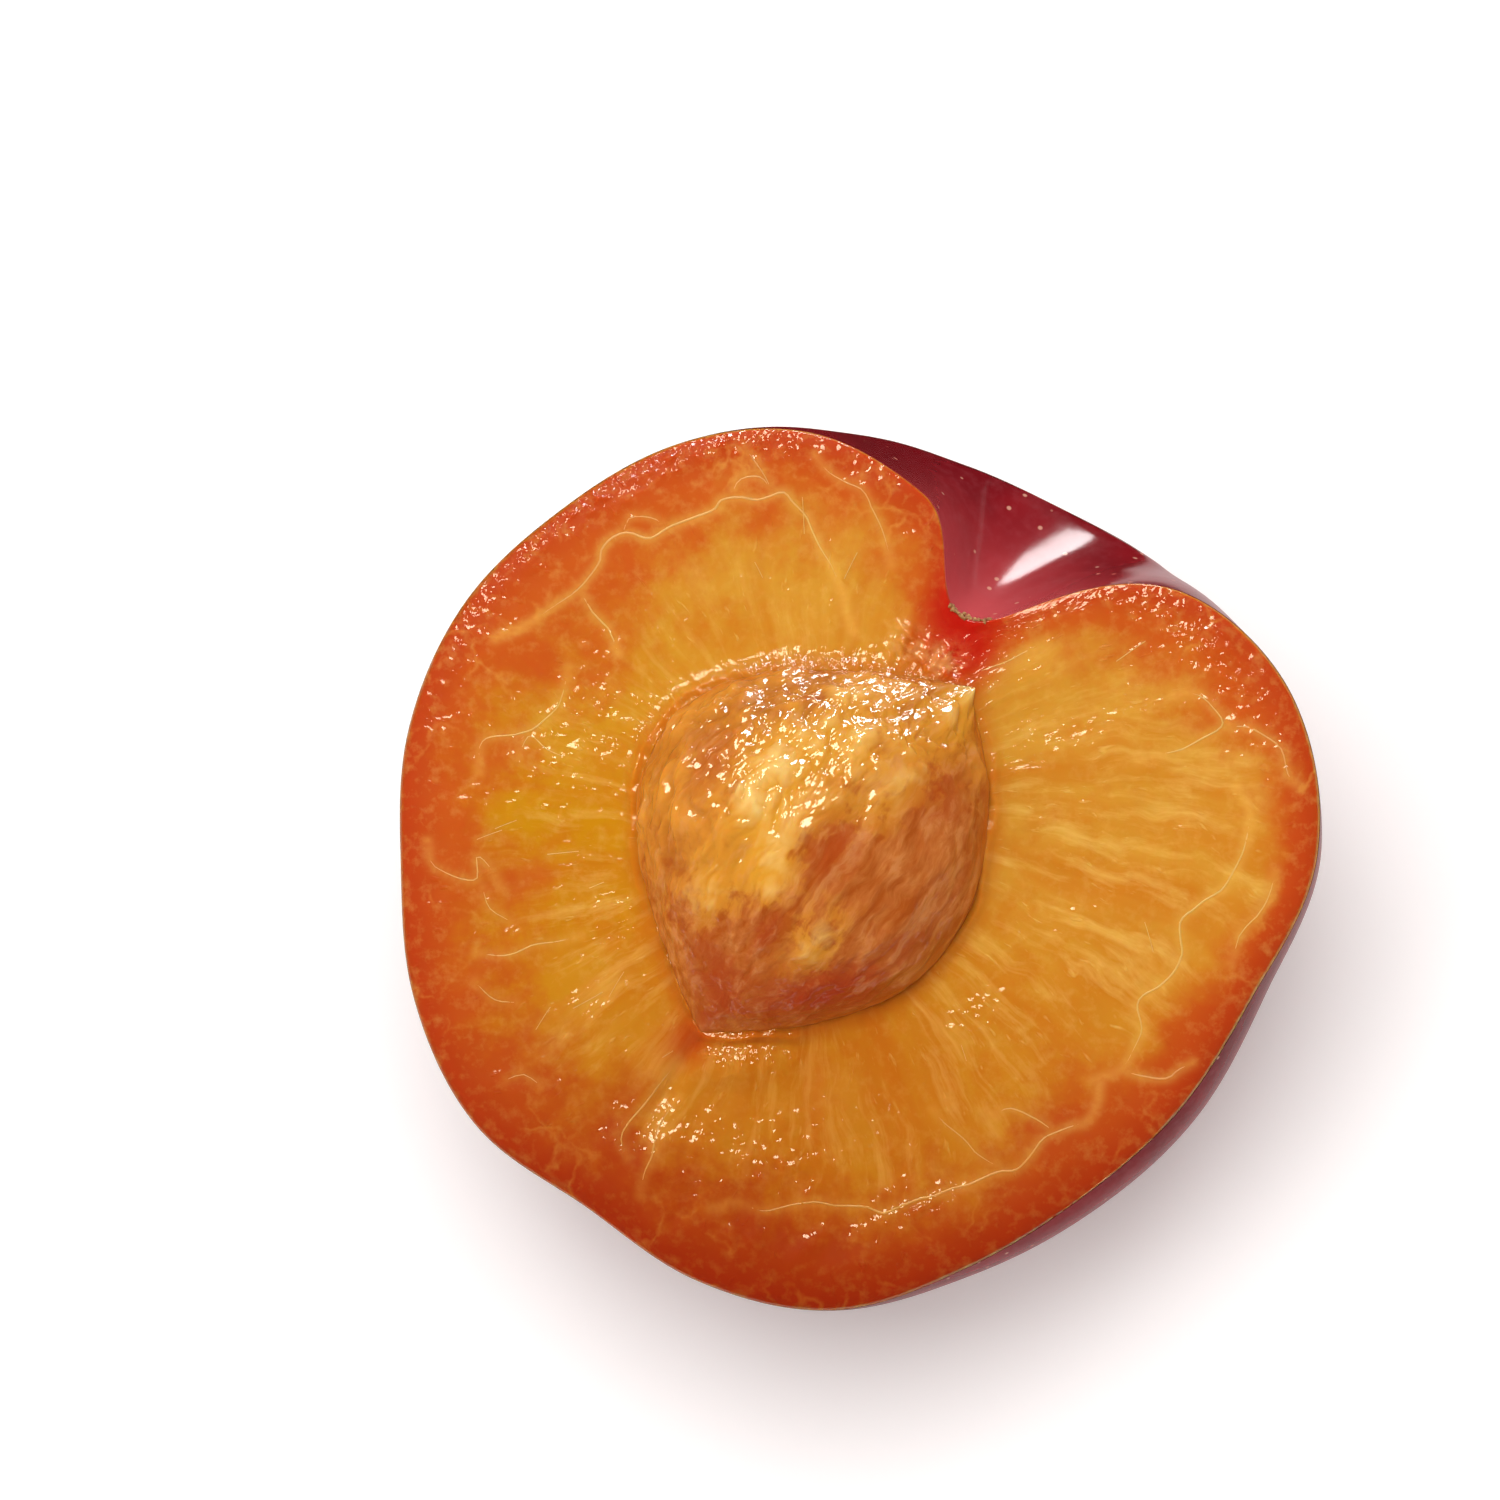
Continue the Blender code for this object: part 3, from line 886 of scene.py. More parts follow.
@dataclass(frozen=True)
class StoneFinish:
    """A plum stone with pulp clinging to it: brown wood under torn, wet, yellow threads."""

    wood: str = "cc7c3a"
    dark: str = "ae5416"
    shade: str = "bc701e"
    amber: str = "dc9232"
    gold: str = "e09c2e"
    cream: str = "f2cc78"
    ruddy: str = "b04814"
    rosy: str = "aa3c14"
    # Painted glow near the cut edge, for light coming through the flesh round the stone.
    rim: str = "cc6c1c"
    fibre: str = "e0a064"
    ior: float = 1.38
    thread_mm: float = 0.8  # width of the clinging threads
    ripple_mm: float = 0.8  # width of the wet ripples that glint

    def build(self) -> bpy.types.Material:
        """Makes the material."""
        made = bpy.data.materials.new("pulpy_plum_stone")
        made.use_nodes = True
        tree = made.node_tree
        tree.nodes.clear()
        place = node(tree, "ShaderNodeAttribute", out="Vector", attribute_name="grain")
        pulp = node(tree, "ShaderNodeAttribute", out="Fac", attribute_name="pulp")
        cream = node(tree, "ShaderNodeAttribute", out="Fac", attribute_name="cream")
        ruddy = node(tree, "ShaderNodeAttribute", out="Fac", attribute_name="ruddy")
        rosy = node(tree, "ShaderNodeAttribute", out="Fac", attribute_name="rosy")
        raised = node(tree, "ShaderNodeAttribute", out="Fac", attribute_name="raised")
        sway = node(tree, "ShaderNodeTexNoise", {
            "Vector": place, "Scale": 1 / (2.5 * MM), "Detail": 2,
        }, out="Color")
        swayed = node(tree, "ShaderNodeVectorMath", {
            0: sway, 1: (0.0013, 0.0013, 0.0013), 2: place,
        }, operation="MULTIPLY_ADD")
        strung = node(tree, "ShaderNodeMapping", {"Vector": swayed, "Scale": (1, 0.17, 1)})
        thread = node(tree, "ShaderNodeTexNoise", {
            "Vector": strung, "Scale": 1 / (self.thread_mm * MM), "Detail": 4, "Roughness": 0.6,
        })
        patch = node(tree, "ShaderNodeTexNoise", {
            "Vector": swayed, "Scale": 1 / (2.4 * MM), "Detail": 4, "Roughness": 0.65,
        })
        torn = node(tree, "ShaderNodeMapping", {"Vector": swayed, "Scale": (1, 0.6, 1)})
        ripple = node(tree, "ShaderNodeTexNoise", {
            "Vector": torn, "Scale": 1 / (self.ripple_mm * MM), "Detail": 1.3, "Roughness": 0.5,
        })

        # Wood where it is bare, amber pulp where it clings, both streaked by threads.
        streaks = node(tree, "ShaderNodeMapRange", {"Value": thread, "From Min": 0.38, "From Max": 0.62})
        wood = node(tree, "ShaderNodeMix", {
            "Factor": streaks, "A": linear(self.dark), "B": linear(self.wood),
        }, data_type="RGBA")
        tone = node(tree, "ShaderNodeMath", {0: patch, 1: raised}, operation="ADD")
        tone = node(tree, "ShaderNodeMapRange", {"Value": tone, "From Min": 0.65, "From Max": 1.25})
        wet = node(tree, "ShaderNodeMix", {
            "Factor": tone, "A": linear(self.shade), "B": linear(self.amber),
        }, data_type="RGBA")
        cover = self.ragged(tree, pulp, patch, thread)
        colour = node(tree, "ShaderNodeMix", {"Factor": cover, "A": wood, "B": wet}, data_type="RGBA")
        for reach, tint in ((ruddy, self.ruddy), (rosy, self.rosy), (cream, self.gold)):
            share = self.ragged(tree, reach, patch, thread)
            colour = node(tree, "ShaderNodeMix", {
                "Factor": share, "A": colour, "B": linear(tint),
            }, data_type="RGBA")
        pale = node(tree, "ShaderNodeMapRange", {
            "Value": thread, "From Min": 0.54, "From Max": 0.72, "To Max": 0.35,
        })
        colour = node(tree, "ShaderNodeMix", {
            "Factor": pale, "A": colour, "B": linear(self.fibre),
        }, data_type="RGBA")
        crest = node(tree, "ShaderNodeMath", {0: cream, 1: raised}, operation="MULTIPLY")
        crest = node(tree, "ShaderNodeMath", {0: crest, 1: ripple}, operation="MULTIPLY")
        crest = node(tree, "ShaderNodeMapRange", {
            "Value": crest, "From Min": 0.14, "From Max": 0.5, "To Max": 0.85,
        })
        colour = node(tree, "ShaderNodeMix", {
            "Factor": crest, "A": colour, "B": linear(self.cream),
        }, data_type="RGBA")

        # Painted glow: an orange tint near the cut edge, for light coming through the wet flesh round the
        # stone. Fine threads roughen the wood; the juice over it ripples more softly, so its glints stay
        # whole.
        glow_near_cut = node(tree, "ShaderNodeAttribute", out="Fac", attribute_name="painted_edge_glow")
        colour = node(tree, "ShaderNodeMix", {
            "Factor": glow_near_cut, "A": colour, "B": linear(self.rim),
        }, data_type="RGBA")
        bump = node(tree, "ShaderNodeBump", {"Height": thread, "Distance": 0.12 * MM})
        wetness = node(tree, "ShaderNodeMapRange", {"Value": pulp, "To Min": 0.25, "To Max": 1.0})
        rise = node(tree, "ShaderNodeMath", {0: ripple, 1: wetness}, operation="MULTIPLY")
        film = node(tree, "ShaderNodeBump", {"Height": rise, "Distance": 0.5 * MM})
        shader = node(tree, "ShaderNodeBsdfPrincipled", {
            "Base Color": colour, "Roughness": 0.4, "IOR": self.ior, "Normal": bump,
            "Specular IOR Level": 0.1, "Subsurface Weight": 0.4,
            "Subsurface Radius": (1.0, 0.4, 0.1), "Subsurface Scale": 0.8 * MM,
            "Coat Weight": 1.0, "Coat Roughness": 0.045, "Coat IOR": 1.5, "Coat Normal": film,
        })
        node(tree, "ShaderNodeOutputMaterial", {"Surface": shader})
        return made

    @staticmethod
    def ragged(tree: bpy.types.NodeTree, reach: bpy.types.NodeSocket, patch: bpy.types.NodeSocket,
               thread: bpy.types.NodeSocket) -> bpy.types.NodeSocket:
        """Breaks up a soft area's edge by patches and threads."""
        edge = node(tree, "ShaderNodeMath", {0: patch, 1: 1.8, 2: -0.9}, operation="MULTIPLY_ADD")
        frayed = node(tree, "ShaderNodeMath", {0: thread, 1: 0.9, 2: -0.45}, operation="MULTIPLY_ADD")
        edge = node(tree, "ShaderNodeMath", {0: edge, 1: frayed}, operation="ADD")
        total = node(tree, "ShaderNodeMath", {0: reach, 1: edge}, operation="ADD")
        cut = node(tree, "ShaderNodeMapRange", {
            "Value": total, "From Min": 0.15, "From Max": 0.85,
        }, interpolation_type="SMOOTHSTEP")
        return node(tree, "ShaderNodeMath", {0: cut, 1: reach}, operation="MINIMUM")


@dataclass(frozen=True)
class FloorFinish:
    """White matt board, lit a little from below, which the soft shadow falls on."""

    white: str = "f8f7f6"
    name: str = "white_board"
    glow: float = 0.0

    def build(self) -> bpy.types.Material:
        """Makes the material."""
        made = bpy.data.materials.new(self.name)
        made.use_nodes = True
        tree = made.node_tree
        tree.nodes.clear()
        shader = node(tree, "ShaderNodeBsdfPrincipled", {
            "Base Color": linear(self.white), "Roughness": 0.9, "Specular IOR Level": 0.1,
            "Emission Color": linear(self.white), "Emission Strength": self.glow,
        })
        node(tree, "ShaderNodeOutputMaterial", {"Surface": shader})
        return made


@dataclass
class Flesh:
    """The flesh: the cut face, the stone's socket and the rounded back under the skin."""

    form: FruitForm
    face: CutFace
    pose: Matrix
    skin: float = 0.17 * MM
    lap: float = 0.03 * MM  # how far inside the skin's outer surface the cut edge ends
    columns: int = 640
    socket_rows: int = 12
    face_rows: int = 112
    curl_rows: int = 6
    back_rows: int = 22

    def build(self, material: bpy.types.Material, veins: "Veins") -> bpy.types.Object:
        """Makes the flesh as one closed piece.

        Args:
            material: The flesh finish.
            veins: The veins, whose halo the flesh shows.

        Returns:
            The finished piece.
        """
        rows = self.socket_rows + self.face_rows + self.curl_rows + self.back_rows
        mesh, angle, row = globe("flesh", self.columns, rows)
        stone = self.face.stone
        points = np.zeros((len(angle), 3))

        # Socket: the lower half of a ball, from its deepest point up to its edge.
        share = np.clip(row / self.socket_rows, 0, 1)
        tip = share * math.pi / 2
        unit = np.stack((-np.sin(angle) * np.sin(tip), np.cos(angle) * np.sin(tip), -np.cos(tip)), axis=1)
        socket = stone.placed(unit, stone.film)
        inside = row <= self.socket_rows
        points[inside] = socket[inside]

        # Face: from the socket's edge to just inside the skin.
        step = np.clip((row - self.socket_rows) / self.face_rows, 0, 1)
        gap = self.lap / (self.face.rim(angle) - self.face.edge(angle))
        flat = self.face.place(angle, step * (1 - gap))
        on_face = (row >= self.socket_rows) & (row <= self.socket_rows + self.face_rows)
        points[on_face] = np.column_stack((flat, self.face.height(flat)))[on_face]

        # Back: under the skin, down to the deepest point.
        first = self.socket_rows + self.face_rows
        down = np.clip((row - first) / (rows - first), 0, 1)
        level = np.cos(down ** 1.5 * math.pi / 2)
        back = self.form.outside(angle, level, self.skin + 0.12 * MM)
        drop = smooth(row, first, first + self.curl_rows)
        back[:, 2] -= 0.9 * MM * drop * level
        below = row > first
        points[below] = back[below]

        flat_all = np.where(below[:, None], self.face.place(angle, 1 - gap), flat)
        flat_all[inside] = points[inside][:, :2]
        placed = moved(points, self.pose)
        placed[:, 2] = np.maximum(placed[:, 2], self.skin + 0.05 * MM)
        write_points(mesh, placed)
        self.face.dress(mesh, flat_all, veins.halo(flat_all))
        write_bake_map(mesh, points[:, :2], (row < self.socket_rows) | (row > first + 1))
        return add_piece("flesh", mesh, material, "plum_half")


@dataclass
class Skin:
    """The skin: a thin closed shell round the back, whose cut edge rings the face."""

    form: FruitForm
    pose: Matrix
    thickness: float = 0.17 * MM
    sheen_reach: float = 7.4 * MM  # how far from the scar the painted pink sheen of the hollow reaches
    columns: int = 360
    rows: int = 160

    def build(self, material: bpy.types.Material) -> bpy.types.Object:
        """Makes the skin as one closed shell."""
        shape = bmesh.new()
        bmesh.ops.create_uvsphere(shape, u_segments=self.columns, v_segments=self.rows, radius=1)
        upper = [v for v in shape.verts if v.co.z > 1e-4]
        bmesh.ops.delete(shape, geom=upper, context="VERTS")
        unit = np.array([v.co for v in shape.verts])
        angle = np.arctan2(-unit[:, 0], unit[:, 1])
        level = np.clip(np.hypot(unit[:, 0], unit[:, 1]), 0, 1)
        points = self.form.outside(angle, level)
        points[:, 2] -= 0.5 * MM * level
        # Painted reflection: how strongly the lighter pink is laid on, by nearness to the stem scar.
        scar = self.form.outside(np.array([self.form.hollow_angle]), np.ones(1))[0]
        painted_hollow_sheen = bell(np.linalg.norm(points - scar, axis=1), self.sheen_reach)
        tint = shape.verts.layers.float.new("painted_hollow_sheen")
        placed = moved(points, self.pose)
        placed[:, 2] = np.maximum(placed[:, 2], 0)
        for vert, place, share in zip(shape.verts, placed, painted_hollow_sheen):
            vert.co = place
            vert[tint] = share
        bmesh.ops.recalc_face_normals(shape, faces=shape.faces)
        bmesh.ops.solidify(shape, geom=shape.faces, thickness=self.thickness)
        bmesh.ops.recalc_face_normals(shape, faces=shape.faces)
        mesh = mesh_from(shape, "skin")
        mesh.set_sharp_from_angle(angle=math.radians(50))
        points = moved(read_points(mesh), self.pose.inverted())
        reach = np.linalg.norm(points, axis=1)
        down = np.arccos(np.clip(-points[:, 2] / reach, -1, 1))
        angle = np.arctan2(-points[:, 0], points[:, 1])
        laid = np.stack((-np.sin(angle) * down, np.cos(angle) * down), axis=1)
        write_bake_map(mesh, laid, self.inner(mesh, points))
        return add_piece("skin", mesh, material, "plum_half")


    def inner(self, mesh: bpy.types.Mesh, points: np.ndarray) -> np.ndarray:
        """Whether each vertex lies on the shell's inner side and off its rim."""
        outward = np.empty(len(points) * 3)
        mesh.vertex_normals.foreach_get("vector", outward)
        facing = moved(outward.reshape(-1, 3), self.pose.to_quaternion().to_matrix().to_4x4().inverted())
        return ((facing * points).sum(1) < 0) & (points[:, 2] < -1.2 * MM)


@dataclass
class Stone:
    """The stone, rough with clinging pulp on its left and woody on its right."""

    form: StoneForm
    pose: Matrix
    columns: int = 420
    rows: int = 210
    upper_share: float = 0.68  # of the rows, above the cut
    # Patches: place across and along the stone as shares of its half size, their size, and how
    # creamy, ruddy and rosy they are.
    patches: tuple = (
        (-0.60, 0.69, 0.30, 0.6, 0.0, 0.0), (0.39, 0.92, 0.30, 0.9, 0.0, 0.0),
        (-0.64, 0.06, 0.22, 0.0, 0.6, 0.0), (-0.45, 0.29, 0.16, 0.7, 0.0, 0.0),
        (-0.23, 0.07, 0.24, 1.0, 0.0, 0.0), (-0.02, -0.18, 0.17, 1.0, 0.0, 0.0),
        (-0.31, -0.42, 0.18, 0.7, 0.0, 0.0), (-0.24, 0.50, 0.20, 0.7, 0.0, 0.0),
        (0.22, 0.41, 0.22, 0.6, 0.0, 0.0), (0.55, 0.62, 0.24, 0.0, 0.7, 0.3),
        (0.21, 0.09, 0.20, 0.0, 0.8, 0.1), (-0.23, -0.64, 0.25, 0.0, 0.5, 0.2),
        (0.44, -0.24, 0.18, 0.45, 0.0, 0.0), (0.54, -0.33, 0.14, 0.35, 0.0, 0.0),
        (0.18, -0.39, 0.14, 0.0, 0.3, 0.7), (0.86, -0.40, 0.18, 0.0, 0.2, 0.6),
        (0.76, -0.13, 0.20, 0.0, 0.4, 0.3), (0.13, -0.82, 0.25, 0.0, 0.5, 0.4),
        (0.70, -0.60, 0.25, 0.0, 0.2, 0.8),
    )

    def build(self, material: bpy.types.Material) -> bpy.types.Object:
        """Makes the stone as one closed piece."""
        mesh, angle, row = globe("stone_pulp", self.columns, self.rows)
        step = row / self.rows
        split = self.upper_share
        tip = np.where(step < split, step / split, 1 + (step - split) / (1 - split)) * math.pi / 2
        unit = np.stack((-np.sin(angle) * np.sin(tip), np.cos(angle) * np.sin(tip), np.cos(tip)), axis=1)
        plain = self.form.placed(unit)
        outward = self.form.placed(unit * 1.001) - plain
        outward /= np.maximum(np.linalg.norm(outward, axis=1), 1e-9)[:, None]
        above = smooth(unit[:, 2], -0.04, 0.16)
        pulp = self.pulp(unit)
        wandering = warped(plain, 2.6 * MM, 0.7 * MM)
        lumps = rough(wandering * np.array((1, 0.55, 1)), 2.6 * MM, 2, 4.2)
        knobs = rough(wandering * np.array((1, 0.55, 1)), 1.3 * MM, 3, 9.7, Grain.BILLOWY)
        furrows = rough(wandering * np.array((1, 0.2, 1)), 1.2 * MM, 3, 2.3)
        rise = 0.34 * lumps * (0.6 + 0.4 * pulp) + 0.20 * knobs * pulp + 0.12 * furrows * (1 - pulp)
        tuft = bell(np.hypot(unit[:, 0] - 0.1, unit[:, 1] - 0.93), 0.25)
        rise += tuft * (0.35 + 0.6 * knobs)
        grip = 0.2 * smooth(unit[:, 2], -0.1, 0.02) * smooth(unit[:, 2], 0.4, 0.15)
        placed = moved(plain + outward * ((rise * above + grip) * MM)[:, None], self.pose)
        write_points(mesh, placed)
        down = tip / (math.pi / 2)
        laid = np.stack((-np.sin(angle), np.cos(angle)), axis=1) * np.minimum(down, 2 - down)[:, None]
        write_bake_map(mesh, laid, down > 1.05)
        write_value(mesh, "grain", plain)
        write_value(mesh, "pulp", pulp)
        # Painted glow: where the orange tint near the cut edge is laid on.
        write_value(mesh, "painted_edge_glow", 0.75 * smooth(unit[:, 2], 0.3, 0.05))
        write_value(mesh, "raised", np.clip(0.5 + 0.5 * lumps + 0.3 * knobs, 0, 1))
        for place, name in enumerate(("cream", "ruddy", "rosy"), start=3):
            write_value(mesh, name, self.spread(unit, place))
        return add_piece("stone_pulp", mesh, material, "stone")

    def spread(self, unit: np.ndarray, place: int) -> np.ndarray:
        """Total strength of one of the patches' colours at points of the unit ball, from 0 to 1."""
        total = np.zeros(len(unit))
        for patch in self.patches:
            gap = np.hypot(unit[:, 0] - patch[0] * np.sqrt(np.maximum(0, 1 - unit[:, 1] ** 2)),
                           unit[:, 1] - patch[1])
            total += patch[place] * bell(gap, patch[2])
        return np.minimum(total, 1)

    @staticmethod
    def pulp(unit: np.ndarray) -> np.ndarray:
        """How much pulp clings, from 0 to 1, at points of the unit ball."""
        tipward = smooth(unit[:, 1], 0.45, 0.85)
        left = smooth(0.2 + 0.6 * np.maximum(unit[:, 1], 0) - unit[:, 0], -0.1, 0.6)
        tuft = 0.6 * bell(np.hypot(unit[:, 0] - 0.38, unit[:, 1] + 0.42), 0.25)
        return np.maximum(np.maximum(tipward, left * smooth(unit[:, 1], -0.85, -0.25)), tuft)


@dataclass
class Veins:
    """The pale veins that the knife laid bare, half sunk in the flesh."""

    face: CutFace
    pose: Matrix
    strands: list = field(default_factory=list)
    thick: float = 0.1 * MM
    thin: float = 0.03 * MM
    step: float = 0.35 * MM
    # Courses of the main veins, as (degrees from the stem, share), with a width for each.
    main: tuple = (
        (1.0, ((93, .80), (88, .72), (83, .70), (78, .69), (73, .72), (71, .76), (67, .77), (64, .70),
               (59, .70), (53, .70), (49, .74), (44, .71), (40, .73), (37, .65), (33.5, .52),
               (29, .39), (24, .20))),
        (0.6, ((67, .77), (65, .81), (62, .77), (60, .71))),
        (0.7, ((49, .74), (47, .80), (43.5, .80), (41.5, .75))),
        (0.8, ((78, .69), (79, .58), (80, .45), (81, .37))),
        (0.6, ((45, .92), (43, .82), (42, .75))),
        (0.6, ((35, .90), (33, .84), (30, .82), (26, .82), (23, .72), (19, .58))),
        (0.7, ((114, .68), (109, .69), (106, .57), (103, .48), (96.5, .45), (90, .47))),
        (0.5, ((109, .52), (105, .50), (106, .42), (107, .31))),
        (0.6, ((125.5, .87), (129, .84), (132, .70), (128, .66), (134, .58))),
        (0.7, ((327.6, .68), (326.5, .72), (324, .76), (321, .76), (320, .67), (319.5, .59),
               (319.5, .49))),
        (0.7, ((321, .76), (319.4, .84), (316.6, .90), (313, .91), (311.6, .95))),
        (0.9, ((312.6, .76), (308.5, .79), (304, .78), (299, .75), (293.5, .67), (287.6, .73),
               (283, .70), (279.5, .66), (275.4, .73), (269, .75), (265, .70))),
        (0.8, ((269, .75), (270, .82), (271.6, .88), (273.6, .90), (275.4, .93))),
        (1.0, ((265.4, .72), (262.4, .77), (259, .79), (255, .75), (247.4, .78), (243, .74), (236, .72),
               (228, .70), (222, .66), (216, .63), (208, .67), (202.6, .67), (199, .72))),
        (0.6, ((239, .43), (242.4, .58), (243, .66), (245.4, .74))),
        (0.7, ((249, .56), (252.4, .58), (254, .66), (255, .75))),
        (0.6, ((301.6, .89), (298, .89), (294, .86), (289.5, .87))),
        (0.8, ((187, .33), (187, .55), (189, .80))),
        (0.8, ((182.6, .23), (182.4, .43), (181.8, .62), (184.4, .68))),
        (0.5, ((162.7, .78), (163.7, .72), (166.3, .70))),
        (0.6, ((143.4, .72), (145.7, .60), (146, .44), (147, .32))),
        (0.5, ((134, .66), (137.4, .64), (140, .57))),
        (0.5, ((147.3, .75), (151.4, .70), (153.6, .63))),
        (0.5, ((351, .14), (349, .24), (347.4, .33), (346.3, .43), (345.6, .51))),
    )

    def grow(self) -> None:
        """Lays out the main veins, then fine threads that run out from the stone."""
        chance = random.Random(41)
        for width, course in self.main:
            turned = np.array(course)
            flat = self.face.place(np.radians(turned[:, 0]), turned[:, 1])
            self.strands.append((width, self.rounded(flat, chance, 0.10 * MM)))
        for _ in range(14):
            angle = chance.uniform(10, 350)
            start = chance.uniform(0.05, 0.6)
            length = chance.uniform(0.05, 0.16)
            drift = chance.gauss(0, 2)
            lean = self.lean_at(angle)
            share = np.linspace(start, start + length, 5)
            course = angle + drift * (share - start) / length + lean * (1 - share)
            flat = self.face.place(np.radians(course), share)
            self.strands.append((chance.uniform(0.1, 0.25), self.rounded(flat, chance, 0.05 * MM)))

    def lean_at(self, angle: float) -> float:
        """How many degrees the fibres lean round the stone at an angle."""
        turn = turn_between(np.radians(angle), self.face.lean_centre)
        return float(np.degrees(self.face.lean * bell(turn, self.face.lean_width)))

    def rounded(self, flat: np.ndarray, chance: random.Random, shake: float) -> np.ndarray:
        """Draws a smooth, slightly shaky line through a strand's points.

        Args:
            flat: The strand's own points.
            chance: Where the shake comes from.
            shake: How far it strays.

        Returns:
            Evenly spaced points.
        """
        spans = np.hypot(*np.diff(flat, axis=0).T)
        along = np.concatenate(([0], np.cumsum(spans)))
        count = max(4, int(along[-1] / self.step))
        even = np.linspace(0, along[-1], count)
        padded = np.vstack((2 * flat[0] - flat[1], flat, 2 * flat[-1] - flat[-2]))
        place = np.interp(even, along, np.arange(len(flat)))
        first = np.minimum(np.floor(place).astype(int), len(flat) - 2)
        t = (place - first)[:, None]
        before, start, end, after = (padded[first + k] for k in range(4))
        bend = (2 * before - 5 * start + 4 * end - after) * t * t
        twist = (3 * (start - end) + after - before) * t ** 3
        line = 0.5 * (2 * start + (end - before) * t + bend + twist)
        knots = max(2, count // 3)
        jitter = np.array([[chance.gauss(0, shake), chance.gauss(0, shake)] for _ in range(knots)])
        spread = np.linspace(0, knots - 1, count)
        soft = np.stack([np.interp(spread, np.arange(knots), jitter[:, k]) for k in (0, 1)], axis=1)
        return line + soft

    def halo(self, flat: np.ndarray) -> np.ndarray:
        """How near each point of the face is to a vein, from 0 to 1."""
        marks = [(p, width) for width, line in self.strands for p in line]
        tree = kdtree.KDTree(len(marks))
        for k, (place, _) in enumerate(marks):
            tree.insert((place[0], place[1], 0), k)
        tree.balance()
        found = [tree.find((x, y, 0)) for x, y in flat.tolist()]
        near = np.array([hit[2] for hit in found])
        width = np.array([marks[hit[1]][1] for hit in found])
        return width * bell(near, 0.38 * MM)

    def build(self, material: bpy.types.Material) -> bpy.types.Object:
        """Makes all the veins as one piece of thin tapered cords."""
        curve = bpy.data.curves.new("veins", "CURVE")
        curve.dimensions = "3D"
        curve.bevel_depth = 1
        curve.bevel_resolution = 1
        curve.use_fill_caps = True
        for width, line in self.strands:
            rise = self.face.height(line) - 0.6 * self.thick * width
            placed = moved(np.column_stack((line, rise)), self.pose)
            spline = curve.splines.new("POLY")
            spline.points.add(len(line) - 1)
            spline.points.foreach_set("co", np.column_stack((placed, np.ones(len(line)))).ravel())
            taper = np.sin(np.linspace(0.12, math.pi - 0.12, len(line))) ** 0.5
            spline.points.foreach_set("radius", np.maximum(self.thin, self.thick * width * taper))
        holder = bpy.data.objects.new("veins_curve", curve)
        mesh = bpy.data.meshes.new_from_object(holder)
        mesh.name = "veins"
        bpy.data.objects.remove(holder)
        mesh.shade_smooth()
        flat = moved(read_points(mesh), self.pose.inverted())[:, :2]
        self.face.dress(mesh, flat, np.ones(len(flat)))
        return add_piece("veins", mesh, material, "plum_half")


@dataclass(frozen=True)
class ScarFinish:
    """Dry corky tissue where the stalk broke off: dull, brown and crumbly."""

    brown: str = "8a5228"
    tan: str = "c49a60"

    def build(self) -> bpy.types.Material:
        """Makes the material."""
        made = bpy.data.materials.new("dry_stem_scar")
        made.use_nodes = True
        tree = made.node_tree
        tree.nodes.clear()
        place = node(tree, "ShaderNodeTexCoord", out="Object")
        crumb = node(tree, "ShaderNodeTexNoise", {"Vector": place, "Scale": 1 / (0.35 * MM), "Detail": 3})
        tone = node(tree, "ShaderNodeMapRange", {"Value": crumb, "From Min": 0.4, "From Max": 0.62})
        colour = node(tree, "ShaderNodeMix", {
            "Factor": tone, "A": linear(self.brown), "B": linear(self.tan),
        }, data_type="RGBA")
        bump = node(tree, "ShaderNodeBump", {"Height": crumb, "Distance": 0.08 * MM})
        shader = node(tree, "ShaderNodeBsdfPrincipled", {
            "Base Color": colour, "Roughness": 0.8, "Specular IOR Level": 0.3, "Normal": bump,
        })
        node(tree, "ShaderNodeOutputMaterial", {"Surface": shader})
        return made


@dataclass
class Scar:
    """Crumbs of the stem scar, along the bottom of the stem hollow."""

    form: FruitForm
    pose: Matrix
    span: tuple = (math.radians(9.0), math.radians(0.5))
    sizes: tuple = (0.07 * MM, 0.19 * MM)
    crumbs: int = 44

    def build(self, material: bpy.types.Material) -> bpy.types.Object:
        """Makes the crumbs as one piece."""
        chance = random.Random(7)
        shape = bmesh.new()
        for _ in range(self.crumbs):
            angle = np.array([chance.uniform(*self.span)])
            level = np.array([math.cos(abs(chance.gauss(0, 0.02)))])
            place = moved(self.form.outside(angle, level), self.pose)[0]
            ball = bmesh.ops.create_icosphere(shape, subdivisions=2, radius=1)["verts"]
            scale = [chance.uniform(*self.sizes) for _ in range(3)]
            bmesh.ops.scale(shape, verts=ball, vec=scale)
            spin = Matrix.Rotation(chance.uniform(0, math.tau), 3, "Z")
            bmesh.ops.rotate(shape, verts=ball, matrix=spin)
            for vert in ball:
                vert.co *= 1 + 0.5 * noise.noise(vert.co / (0.2 * MM) + Vector(place) * 900)
            bmesh.ops.translate(shape, verts=ball, vec=place)
        return add_piece("stem_scar", mesh_from(shape, "stem_scar"), material, "plum_half")


